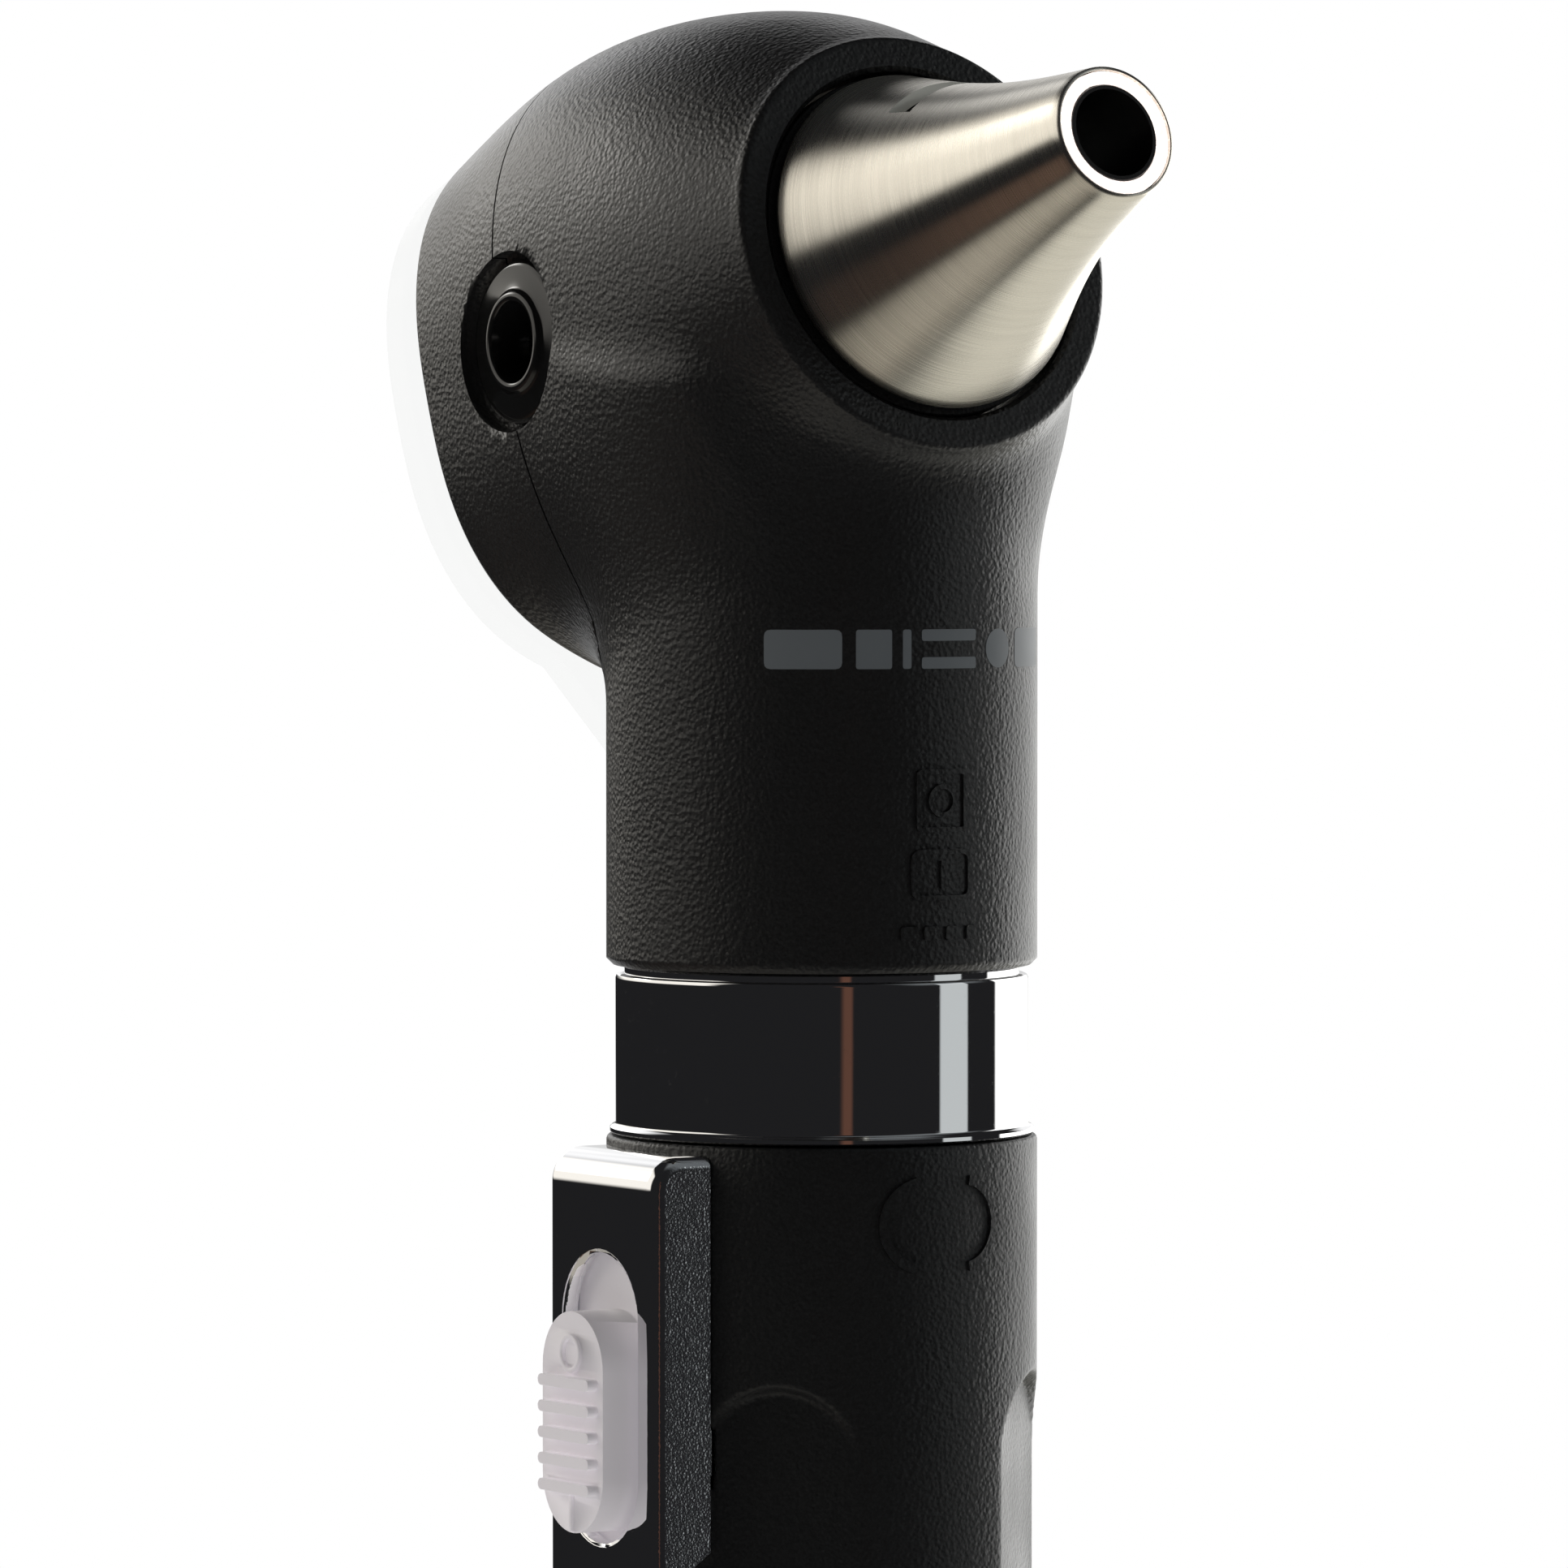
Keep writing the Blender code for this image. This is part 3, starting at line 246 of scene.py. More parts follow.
# Soft boxes round the object: colour, strength, then degrees round the view axis from the right towards the
# top: the middle, half the width and the softness of its sides. The last three say how far towards the
# camera it begins and ends, as parts of a unit direction, and the softness of those two ends.
LOBES = (
    ((1.0, 1.0, 1.0), 1.0, 90, 74, 8, -0.84, -1.01, 0.06),
    ((1.0, 1.0, 1.0), 1.0, 270, 74, 8, -0.90, -1.01, 0.06),
    ((1.0, 0.96, 0.88), 1.08, 157, 21, 4, 0.42, -0.90, 0.10),
    ((1.0, 0.98, 0.94), 6.5, 153, 6, 5, -0.48, -0.64, 0.08),
    ((1.0, 1.0, 1.0), 1.1, 131, 13, 8, -0.64, -0.97, 0.10),
    ((1.0, 0.93, 0.80), 0.42, 250, 17, 6, 0.45, -0.95, 0.12),
    ((1.0, 0.98, 0.88), 0.70, 300, 32, 8, 0.10, -0.95, 0.12),
    ((1.0, 1.0, 0.98), 2.1, 0, 36, 8, -0.40, -0.985, 0.03),
    ((0.95, 1.0, 1.0), 0.58, 5, 17, 3, 0.355, 0.02, 0.015),
    ((1.0, 0.40, 0.22), 0.10, 0, 60, 8, 0.978, 0.955, 0.006),
    ((1.0, 0.60, 0.42), 0.12, 214, 10, 5, 0.30, -0.40, 0.15),
    ((0.9, 0.97, 1.0), 0.14, 50, 34, 10, 0.55, -0.20, 0.15),
)
DARK_SIDE = (0.014, 0.014, 0.015)
CAMERA_WHITE = (1.0, 1.0, 1.0, 1.0)


def make_world():
    """A white surround behind the object and a dark room in front of it, with soft boxes at the sides."""
    world = bpy.data.worlds.new("studio")
    bpy.context.scene.world = world
    world.use_nodes = True
    nodes = Nodes(world.node_tree)
    world.node_tree.nodes.clear()
    direction = nodes.add("ShaderNodeTexCoord").outputs["Generated"]
    right, up, back = (nodes.dot(direction, axis) for axis in (RIGHT, UP, BACK))
    across = nodes.math("MULTIPLY", right, right)
    across = nodes.math("MULTIPLY_ADD", up, up, across)
    across = nodes.math("SQRT", nodes.math("ADD", across, TINY))
    total = DARK_SIDE
    for colour, strength, angle, half, soft, near, far, fade in LOBES:
        begins = nodes.ramp(back, near + fade, near - fade)
        lobe = nodes.math("MULTIPLY", begins, nodes.ramp(back, far - fade, far + fade))
        turn = nodes.math("MULTIPLY", right, cos(radians(angle)))
        turn = nodes.math("MULTIPLY_ADD", up, sin(radians(angle)), turn)
        turn = nodes.math("DIVIDE", turn, across)
        sides = nodes.ramp(turn, cos(radians(half + soft)), cos(radians(half - soft)))
        lobe = nodes.math("MULTIPLY", lobe, sides)
        scaled = nodes.add("ShaderNodeVectorMath", operation="SCALE")
        scaled.inputs[0].default_value = [channel * strength for channel in colour]
        nodes.put(lobe, scaled.inputs["Scale"])
        summed = nodes.add("ShaderNodeVectorMath", operation="ADD")
        nodes.put(total, summed.inputs[0])
        nodes.put(scaled.outputs[0], summed.inputs[1])
        total = summed.outputs[0]
    seen = nodes.add("ShaderNodeLightPath").outputs["Is Camera Ray"]
    background = nodes.add("ShaderNodeBackground")
    nodes.put(nodes.mix(seen, total, CAMERA_WHITE), background.inputs["Color"])
    output = nodes.add("ShaderNodeOutputWorld")
    nodes.tree.links.new(background.outputs[0], output.inputs[0])


def make_floor():
    """A pale round floor, lit evenly, that shows in no reflection."""
    radius, rings, drop = 500.0, 12, 0.02
    shape = bmesh.new()
    bridge(shape, [ring_of(shape, radius * i / rings, 0, 96) for i in range(rings + 1)])
    mesh = bpy.data.meshes.new("floor")
    shape.to_mesh(mesh)
    shape.free()
    floor = add_object("floor", mesh, floor_finish(), place=(0, 0, -drop))
    floor.visible_glossy = False


def floor_finish():
    made = bpy.data.materials.new("floor_paper")
    made.use_nodes = True
    nodes = Nodes(made.node_tree)
    shader = made.node_tree.nodes["Principled BSDF"]
    place = nodes.add("ShaderNodeTexCoord").outputs["Object"]
    grain = nodes.noise(place, 900, detail=4)
    nodes.into(
        shader,
        Base_Color=nodes.mix(grain, (0.82, 0.82, 0.82, 1), (0.86, 0.86, 0.855, 1)),
        Roughness=0.9,
        Specular_IOR_Level=0.1,
        Emission_Color=(1, 1, 1, 1),
        Emission_Strength=0.45,
        Normal=nodes.bump(grain, 0.1, 0.05),
    )
    return made


# ---------------------------------------------------------------- finishes


def finish(name, colour, roughness, metallic=0.0, **inputs):
    """A Principled material, its node helper, its shader and the object's own coordinates."""
    made = bpy.data.materials.new(name)
    made.use_nodes = True
    shader = made.node_tree.nodes["Principled BSDF"]
    nodes = Nodes(made.node_tree)
    nodes.into(shader, Base_Color=tint(colour), Roughness=roughness, Metallic=metallic, **inputs)
    place = nodes.add("ShaderNodeTexCoord").outputs["Object"]
    return made, nodes, shader, place


def tint(colour, share=1.0):
    """The colour with its alpha, made darker or lighter by a share."""
    return (*(channel * share for channel in colour), 1)


def grained_plastic(name, colour, roughness=0.31, grain=4700, depth=0.042, strength=0.9):
    """Moulded plastic with a fine leather-like grain of soft cells, and faint handling marks."""
    made, nodes, shader, place = finish(name, colour, roughness)
    cells = nodes.voronoi(place, grain, feature="SMOOTH_F1", smoothness=0.7)
    fine = nodes.noise(place, grain * 2.1, detail=3, roughness=0.6)
    wide = nodes.noise(place, 120, detail=3)
    height = nodes.math("MULTIPLY_ADD", fine, 0.45, cells)
    rough = nodes.ramp(wide, 0.3, 0.7, roughness - 0.04, roughness + 0.05)
    nodes.into(
        shader,
        Normal=nodes.bump(height, strength, depth),
        Roughness=nodes.math("MULTIPLY_ADD", fine, 0.06, rough),
        Base_Color=nodes.mix(nodes.ramp(fine, 0.3, 0.75), tint(colour, 0.8), tint(colour, 1.5)),
    )
    return made


def smooth_plastic(name, colour, roughness, speckle=0.04, bump=0.15, depth=0.01, scale=1800, painted_glow=0.0):
    """Plastic or rubber with an even, slightly uneven gloss. The painted glow is painted light: an emission
    in the plastic's own colour that brightens the piece.
    """
    made, nodes, shader, place = finish(name, colour, roughness, Emission_Strength=painted_glow)
    fine = nodes.noise(place, scale, detail=4, roughness=0.6)
    wide = nodes.noise(place, 160, detail=2)
    nodes.into(
        shader,
        Emission_Color=tint(colour),
        Normal=nodes.bump(fine, bump, depth),
        Roughness=nodes.ramp(wide, 0.3, 0.7, roughness - speckle, roughness + speckle),
        Base_Color=nodes.mix(wide, tint(colour, 0.94), tint(colour)),
    )
    return made


def brushed_metal(name, colour, roughness=0.27):
    """Metal turned on its own Z axis: fine rings of brushing that stretch reflections along the piece."""
    brushing = {"Anisotropic": 0.82, "Anisotropic_Rotation": 0.25}
    made, nodes, shader, place = finish(name, colour, roughness, 1.0, **brushing)
    tangent = nodes.add("ShaderNodeTangent", direction_type="RADIAL", axis="Z")
    fine = nodes.noise(nodes.stretched(place, (70, 70, 24000)), 1.0, detail=3, roughness=0.7)
    wide = nodes.noise(nodes.stretched(place, (240, 240, 2600)), 1.0, detail=3)
    shade = nodes.math("MULTIPLY_ADD", fine, 0.6, nodes.math("MULTIPLY", wide, 0.4))
    nodes.into(
        shader,
        Tangent=tangent.outputs[0],
        Roughness=nodes.ramp(fine, 0.2, 0.8, roughness - 0.05, roughness + 0.06),
        Base_Color=nodes.mix(nodes.ramp(shade, 0.3, 0.62), tint(colour, 0.88), tint(colour)),
        Normal=nodes.bump(fine, 0.04, 0.004),
    )
    return made


def plated(name, colour, roughness, grain=0.0, depth=0.004, wave=0.05):
    """Chrome plate: a faint waviness, and where it was folded a grain of small dents."""
    made, nodes, shader, place = finish(name, colour, roughness, 1.0)
    normal = nodes.bump(nodes.noise(place, 420, detail=2), wave, 0.02)
    if grain:
        dents = nodes.voronoi(place, 9500, feature="SMOOTH_F1", smoothness=0.5)
        pits = nodes.noise(place, 5200, detail=4)
        normal = nodes.bump(nodes.math("ADD", dents, pits), grain, depth, onto=normal)
    specks = nodes.noise(place, 2600, detail=4, roughness=0.7)
    nodes.into(shader, Normal=normal, Roughness=nodes.ramp(specks, 0.55, 0.85, roughness, roughness + 0.12))
    return made


def plain_metal(name, colour, roughness):
    made, nodes, shader, place = finish(name, colour, roughness, 1.0)
    lines = nodes.noise(nodes.stretched(place, (600, 600, 5200)), 1.0, detail=3)
    nodes.into(
        shader,
        Roughness=nodes.ramp(lines, 0.3, 0.7, roughness - 0.08, roughness + 0.1),
        Base_Color=nodes.mix(lines, tint(colour, 0.8), tint(colour)),
        Normal=nodes.bump(lines, 0.08, 0.01),
    )
    return made


def lacquered_metal(name, colour, roughness):
    made, nodes, shader, place = finish(name, colour, roughness, Coat_Weight=0.35, Coat_Roughness=0.22)
    orange_peel = nodes.noise(place, 2300, detail=3)
    worn = nodes.noise(place, 500, detail=6, roughness=0.75)
    worn = nodes.ramp(worn, 0.4, 0.75, roughness, roughness + 0.12)
    nodes.into(shader, Normal=nodes.bump(orange_peel, 0.2, 0.008), Roughness=worn)
    return made


def clear_pane(name):
    """Clear plastic that passes what is behind it, with a faint gloss that grows at grazing angles."""
    made, nodes, shader, place = finish(name, (0.9, 0.92, 0.92), 0.04)
    smears = nodes.noise(place, 260, detail=5, roughness=0.7)
    normal = nodes.bump(smears, 0.02, 0.01)
    nodes.into(shader, Roughness=nodes.ramp(smears, 0.55, 0.8, 0.02, 0.08), Normal=normal)
    passing = nodes.add("ShaderNodeBsdfTransparent")
    nodes.into(passing, Color=nodes.mix(smears, (0.985, 0.988, 0.985, 1), (0.995, 0.997, 0.995, 1)))
    edge = nodes.add("ShaderNodeFresnel")
    nodes.into(edge, IOR=1.12, Normal=normal)
    blend = nodes.add("ShaderNodeMixShader")
    share = nodes.math("MULTIPLY_ADD", edge.outputs[0], 0.26, 0.03, clamp=True)
    for source, socket in zip((share, passing.outputs[0], shader.outputs[0]), blend.inputs):
        nodes.put(source, socket)
    nodes.put(blend.outputs[0], made.node_tree.nodes["Material Output"].inputs[0])
    return made


def glowing_fibres(name):
    """A dark sleeve whose polished end shows lit fibres, each a slightly different white."""
    made, nodes, shader, place = finish(name, (0.02, 0.02, 0.02), 0.3)
    height = nodes.add("ShaderNodeSeparateXYZ")
    nodes.put(place, height.inputs[0])
    end = nodes.ramp(height.outputs["Z"], (CONE_TIP - 0.5) * MM, (CONE_TIP - 0.2) * MM)
    cells = nodes.voronoi(place, 9000)
    nodes.into(
        shader,
        Emission_Color=nodes.mix(nodes.ramp(cells, 0.1, 0.6), (1.0, 0.97, 0.93, 1), (1.0, 0.86, 0.80, 1)),
        Emission_Strength=nodes.math("MULTIPLY", nodes.ramp(cells, 0.0, 0.7, 1.9, 1.2), end),
        Roughness=nodes.ramp(cells, 0.2, 0.6, 0.22, 0.4),
    )
    return made


def cell_wrap(name):
    """A battery's printed jacket: a dark band and a blue body."""
    made, nodes, shader, place = finish(name, (0.03, 0.09, 0.2), 0.3, 0.4)
    height = nodes.add("ShaderNodeSeparateXYZ")
    nodes.put(place, height.inputs[0])
    band = nodes.math("PINGPONG", height.outputs["Z"], 26 * MM)
    band = nodes.ramp(band, 16 * MM, 17 * MM)
    film = nodes.noise(place, 900, detail=4)
    nodes.into(
        shader,
        Base_Color=nodes.mix(band, (0.02, 0.08, 0.22, 1), (0.015, 0.016, 0.02, 1)),
        Roughness=nodes.ramp(film, 0.3, 0.7, 0.22, 0.38),
    )
    return made


def make_finishes():
    return {
        "head_plastic": grained_plastic("head_plastic", (0.0165, 0.0165, 0.0168)),
        "handle_plastic": grained_plastic("handle_plastic", (0.015, 0.0155, 0.016), roughness=0.36),
        "seat_plastic": grained_plastic("seat_plastic", (0.010, 0.010, 0.0102), roughness=0.6, grain=7000),
        "gloss_plastic": smooth_plastic("gloss_plastic", (0.008,) * 3, 0.12, speckle=0.03, bump=0.05),
        "dark_tube": smooth_plastic("dark_tube", (0.010, 0.008, 0.008), 0.45, bump=0.4, depth=0.02),
        # The slide knob's glow is painted light: an emission that brightens its face beyond what the lamps
        # give.
        "slide_plastic": smooth_plastic("slide_plastic", (0.93, 0.89, 0.93), 0.5, painted_glow=0.13),
        "print_ink": smooth_plastic("print_ink", (0.19, 0.21, 0.225), 0.5, bump=0.3, scale=4200),
        "chrome": plated("chrome", (0.86, 0.86, 0.87), 0.03),
        "folded_chrome": plated("folded_chrome", (0.80, 0.81, 0.83), 0.10, grain=0.7, depth=0.005),
        "steel": brushed_metal("steel", (0.88, 0.84, 0.755)),
        "clear_plastic": clear_pane("clear_plastic"),
        "fibre_ends": glowing_fibres("fibre_ends"),
        "cap_lacquer": lacquered_metal("cap_lacquer", (0.012, 0.012, 0.0125), 0.32),
        "machined": plain_metal("machined", (0.72, 0.72, 0.74), 0.3),
        "contact_metal": plain_metal("contact_metal", (0.78, 0.56, 0.24), 0.28),
        "spring_wire": plain_metal("spring_wire", (0.6, 0.6, 0.61), 0.22),
        "rubber": smooth_plastic("rubber", (0.012, 0.012, 0.012), 0.72, bump=0.4, depth=0.02),
        "nylon": smooth_plastic("nylon", (0.03, 0.03, 0.033), 0.55),
        "cell_wrap": cell_wrap("cell_wrap"),
        "lamp_glass": smooth_plastic("lamp_glass", (0.85, 0.82, 0.62), 0.08, bump=0.03),
        "fibre_bundle": smooth_plastic("fibre_bundle", (0.72, 0.72, 0.66), 0.3),
    }


# ---------------------------------------------------------------- shapes


def add_object(name, data, material=None, place=(0, 0, 0), turn=(0, 0, 0)):
    obj = bpy.data.objects.new(name, data)
    obj.location = Vector(place) * MM
    obj.rotation_euler = turn
    bpy.context.scene.collection.objects.link(obj)
    if material is not None:
        paint(obj, material)
    return obj


def paint(obj, *materials):
    obj.data.materials.clear()
    for material in materials:
        obj.data.materials.append(material)


def add_shape(name, shape, material=None, **placing):
    """The object made from a closed bmesh, its faces turned outward."""
    bmesh.ops.recalc_face_normals(shape, faces=shape.faces)
    mesh = bpy.data.meshes.new(name)
    shape.to_mesh(mesh)
    shape.free()
    return add_object(name, mesh, material, **placing)


def turns_of(count):
    """The angles that part a full turn evenly."""
    return [2 * pi * i / count for i in range(count)]


def ring_of(shape, radius, z, count):
    """A ring of vertices about Z. On the axis it is one vertex, repeated."""
    if radius < TINY:
        return [shape.verts.new((0, 0, z * MM))] * count
    return [shape.verts.new((radius * cos(t) * MM, radius * sin(t) * MM, z * MM)) for t in turns_of(count)]


def bridge(shape, rows):
    """Faces from each ring of vertices to the next, where a repeated vertex counts once."""
    for upper, lower in zip(rows, rows[1:]):
        for i in range(len(upper)):
            j = (i + 1) % len(upper)
            corners = []
            for vert in (upper[i], lower[i], lower[j], upper[j]):
                if vert not in corners:
                    corners.append(vert)
            if len(corners) > 2:
                shape.faces.new(corners)


def lathe(name, profile, material=None, closed=True, segments=128, **placing):
    """A closed profile of (radius, height) points, down its outer side, turned about the object's Z."""
    shape = bmesh.new()
    rows = [ring_of(shape, radius, height, segments) for radius, height in profile]
    bridge(shape, rows + rows[:1] if closed else rows)
    return smooth(add_shape(name, shape, material, **placing))


def disc(name, radius, top, base, segments=96, **placing):
    profile = [(0, top), (radius, top), (radius, base), (0, base)]
    return lathe(name, profile, closed=False, segments=segments, **placing)


def eased_corner(before, corner, after, radius, steps):
    """Points that round one corner of a path, and keep to its own half of a short side."""
    corner = Vector(corner)
    before, after = Vector(before) - corner, Vector(after) - corner
    reach = min(radius, before.length * 0.49, after.length * 0.49)
    start, end = corner + before.normalized() * reach, corner + after.normalized() * reach
    made = []
    for k in range(steps + 1):
        share = k / steps
        made.append(tuple(start * (1 - share) ** 2 + corner * 2 * share * (1 - share) + end * share**2))
    return made


def rounded(points, radius, steps=4):
    """A closed outline of (x, y) points with each corner rounded."""
    made = []
    for i, corner in enumerate(points):
        made += eased_corner(points[i - 1], corner, points[(i + 1) % len(points)], radius, steps)
    return made


def smooth(obj, angle=32):
    """Shade smoothly, with the wide faces deciding the normals beside their narrow bevels."""
    obj.data.shade_smooth()
    obj.data.set_sharp_from_angle(angle=radians(angle))
    if "normals" not in obj.modifiers:
        obj.modifiers.new("normals", "WEIGHTED_NORMAL").keep_sharp = True
    return obj


def outline(name, loops, depth, material=None, middle=0.0, **placing):
    """Flat outlines in the object's XY, inner ones being holes, extruded either way from a middle height."""
    curve = bpy.data.curves.new(name, "CURVE")
    curve.dimensions = "2D"
    curve.fill_mode = "BOTH"
    curve.extrude = depth / 2 * MM
    for loop in loops:
        spline = curve.splines.new("POLY")
        spline.points.add(len(loop) - 1)
        for point, (x, y) in zip(spline.points, loop):
            point.co = (x * MM, y * MM, 0.0, 1.0)
        spline.use_cyclic_u = True
    source = add_object(name, curve)
    mesh = evaluated_mesh(source)
    bpy.data.objects.remove(source)
    bpy.data.curves.remove(curve)
    shape = bmesh.new()
    shape.from_mesh(mesh)
    bmesh.ops.remove_doubles(shape, verts=shape.verts, dist=WELD)
    bmesh.ops.recalc_face_normals(shape, faces=shape.faces)
    shape.to_mesh(mesh)
    shape.free()
    mesh.name = name
    mesh.transform(Matrix.Translation((0, 0, middle * MM)))
    return smooth(add_object(name, mesh, material, **placing))


def box(name, low, high, edge=0.0, segments=3, **placing):
    """A box between two corners, with rounded edges."""
    loop = [(low[0], low[1]), (high[0], low[1]), (high[0], high[1]), (low[0], high[1])]
    obj = outline(name, [loop], high[2] - low[2], middle=(low[2] + high[2]) / 2, **placing)
    return bevel(obj, edge, segments, angle=35) if edge else obj


def bevel(obj, width, segments, angle=50):
    """The object with its sharp edges rounded."""
    edges = obj.modifiers.new("edges", "BEVEL")
    edges.width = width * MM
    edges.segments = segments
    edges.limit_method = "ANGLE"
    edges.angle_limit = radians(angle)
    return apply_modifiers(obj)


def boolean(obj, other, operation="DIFFERENCE"):
    modifier = obj.modifiers.new(other.name, "BOOLEAN")
    modifier.operation = operation
    modifier.object = other
    modifier.solver = "EXACT"
    apply_modifiers(obj)
    bpy.data.objects.remove(other)
    return obj


def evaluated_mesh(obj):
    bpy.context.view_layer.update()
    graph = bpy.context.evaluated_depsgraph_get()
    return bpy.data.meshes.new_from_object(obj.evaluated_get(graph))


def apply_modifiers(obj):
    """The object's mesh with its modifiers applied, in place."""
    mesh = evaluated_mesh(obj)
    mesh.name = obj.name
    obj.modifiers.clear()
    obj.data = mesh
    return obj


def copy_of(obj, name):
    made = bpy.data.objects.new(name, obj.data.copy())
    made.matrix_world = obj.matrix_world.copy()
    bpy.context.scene.collection.objects.link(made)
    return made


def stadium(half_width, top, base, steps=20):
    points = []
    for centre, start in ((top - half_width, 0.0), (base + half_width, pi)):
        for i in range(steps + 1):
            angle = start + pi * i / steps
            points.append((half_width * cos(angle), centre + half_width * sin(angle)))
    return points


def circle(radius, count=48, centre=(0, 0)):
    return [(centre[0] + radius * cos(t), centre[1] + radius * sin(t)) for t in turns_of(count)]


def oval(half_width, half_up, half_down, power, count=128):
    points = []
    for angle in turns_of(count):
        across, up = cos(angle), sin(angle)
        half = half_up if up > 0 else half_down
        reach = (abs(across / half_width) ** power + abs(up / half) ** power) ** (-1 / power)
        points.append((across * reach, up * reach))
    return points


def helix_tube(name, material, radius, wire_r, start_z, pitch, turns, end_radius=None, steps=40):
    """A coil of round wire about Z, with so many steps to a turn, closed at both ends."""
    last, sides = radius if end_radius is None else end_radius, 10
    count = int(turns * steps)
    shape = bmesh.new()
    rows = []
    for i in range(count + 1):
        share = i / count
        angle, reach = 2 * pi * turns * share, radius + (last - radius) * share
        centre = Vector((reach * cos(angle), reach * sin(angle), start_z + pitch * turns * share))
        outward = Vector((cos(angle), sin(angle), 0))
        loop = []
        for turn in turns_of(sides):
            point = centre + outward * wire_r * cos(turn) + Vector((0, 0, wire_r * sin(turn)))
            loop.append(shape.verts.new(point * MM))
        rows.append(loop)
    bridge(shape, rows)
    shape.faces.new(rows[0])
    shape.faces.new(rows[-1])
    return smooth(add_shape(name, shape, material), 50)


def keep(obj, body, slot, *nodes):
    """The piece rides on its body and stands for the named solids. The slot is not used."""
    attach(obj, body)
    if nodes:
        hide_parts(*nodes)
    return obj


# ---------------------------------------------------------------- head surface


def smooth_curve(values):
    """A natural cubic spline through values at the stations."""
    xs, ys = np.array(STATIONS, float), np.array(values, float)
    steps = np.diff(xs)
    system, target = np.eye(len(xs)), np.zeros(len(xs))
    for i in range(1, len(xs) - 1):
        system[i, i - 1 : i + 2] = steps[i - 1], 2 * (steps[i - 1] + steps[i]), steps[i]
        target[i] = 6 * ((ys[i + 1] - ys[i]) / steps[i] - (ys[i] - ys[i - 1]) / steps[i - 1])
    bend = np.linalg.solve(system, target)

    def at(x):
        i = np.clip(np.searchsorted(xs, x) - 1, 0, len(steps) - 1)
        step, before, after = steps[i], x - xs[i], xs[i + 1] - x
        curved = (bend[i] * after**3 + bend[i + 1] * before**3) / (6 * step)
        left = (ys[i] / step - bend[i] * step / 6) * after
        right = (ys[i + 1] / step - bend[i + 1] * step / 6) * before
        return curved + left + right

    return at


half_width_at = smooth_curve(HALF_WIDTHS)
upper_half_at = smooth_curve(UPPER_HALVES)
lower_half_at = smooth_curve(LOWER_HALVES)
squareness_at = smooth_curve(SQUARENESS)


def body_field(points):
    """Below zero inside the oval body along the optical axis."""
    away = points - RIM_CENTRE
    station = -(away @ FORWARD)
    across, height = points[..., 0], away @ UPWARD
    reach = np.hypot(across, height) + TINY**2
    power = squareness_at(station)
    half_height = np.where(height > 0, upper_half_at(station), lower_half_at(station))
    side = (np.abs(across) / reach / half_width_at(station)) ** power
    side += (np.abs(height) / reach / half_height) ** power
    return reach - side ** (-1 / power)


def head_field(points, inset=0.0):
    """Below zero inside the head: the oval body, blended into the round neck."""
    body = body_field(points)
    station = (RIM_CENTRE - points) @ FORWARD
    neck = np.hypot(points[..., 0], points[..., 1]) - NECK_R
    neck = np.maximum(neck, points[..., 2] - NECK_Z - NECK_CORE_TOP)
    blend = NECK_BLEND * np.clip(station / NECK_BLEND_FULL_STATION, 0.03, 1)
    near = np.maximum(blend - np.abs(body - neck), 0) / blend
    return np.minimum(body, neck) - near**2 * blend / 4 + inset


def onto_surface(points, inset, rounds=8):
    """The points moved along the field's slope until they lie on the surface."""
    nudge = 1e-3
    for _ in range(rounds):
        slope = []
        for axis in np.eye(3) * nudge:
            rise = head_field(points + axis, inset) - head_field(points - axis, inset)
            slope.append(rise / (2 * nudge))
        slope = np.stack(slope, -1)
        steep = np.maximum((slope**2).sum(-1), TINY)
        points = points - (head_field(points, inset) / steep)[..., None] * slope
    return points


def sign_change(field, low, high):
    """Where the field along each ray changes sign, between two reaches."""
    for _ in range(30):
        middle = (low + high) / 2
        outside = field(middle) > 0
        low, high = np.where(outside, low, middle), np.where(outside, middle, high)
    return high


def rays_to_surface(stations, turns, inset):
    """Where rays out of the optical axis leave the head. Rays that run on into the neck stop beside it."""
    station, turn = np.meshgrid(stations, turns, indexing="ij")
    lean = np.clip((station - SEAM_STATION) / (REAR_STATION - SEAM_STATION), 0, 1) * tan(REAR_LEAN)
    start = RIM_CENTRE - station[..., None] * FORWARD
    ray = np.cos(turn)[..., None] * UPWARD - np.sin(turn)[..., None] * SIDEWAYS
    ray = ray - (lean * np.cos(turn))[..., None] * FORWARD
    near, far = np.full(station.shape, 3.0), np.full(station.shape, 16.0)
    body_reach = sign_change(lambda reach: body_field(start + reach[..., None] * ray), near, far)
    far = body_reach - inset + NECK_BLEND / 4
    reach = sign_change(lambda reach: head_field(start + reach[..., None] * ray, inset), near, far)
    points = start + reach[..., None] * ray
    swallowed = far - reach < 1e-3
    return np.where(swallowed[..., None], onto_surface(points, inset), points)


def rolled_edge(ring_points, centre, outward, radius, steps=5):
    """Rows of points that round the rim off from a ring towards its flat end."""
    radial = ring_points - centre
    radial = radial / np.linalg.norm(radial, axis=-1, keepdims=True)
    rows = []
    for k in range(1, steps + 1):
        angle = pi / 2 * k / steps
        rows.append(ring_points + outward * radius * sin(angle) - radial * radius * (1 - cos(angle)))
    return rows


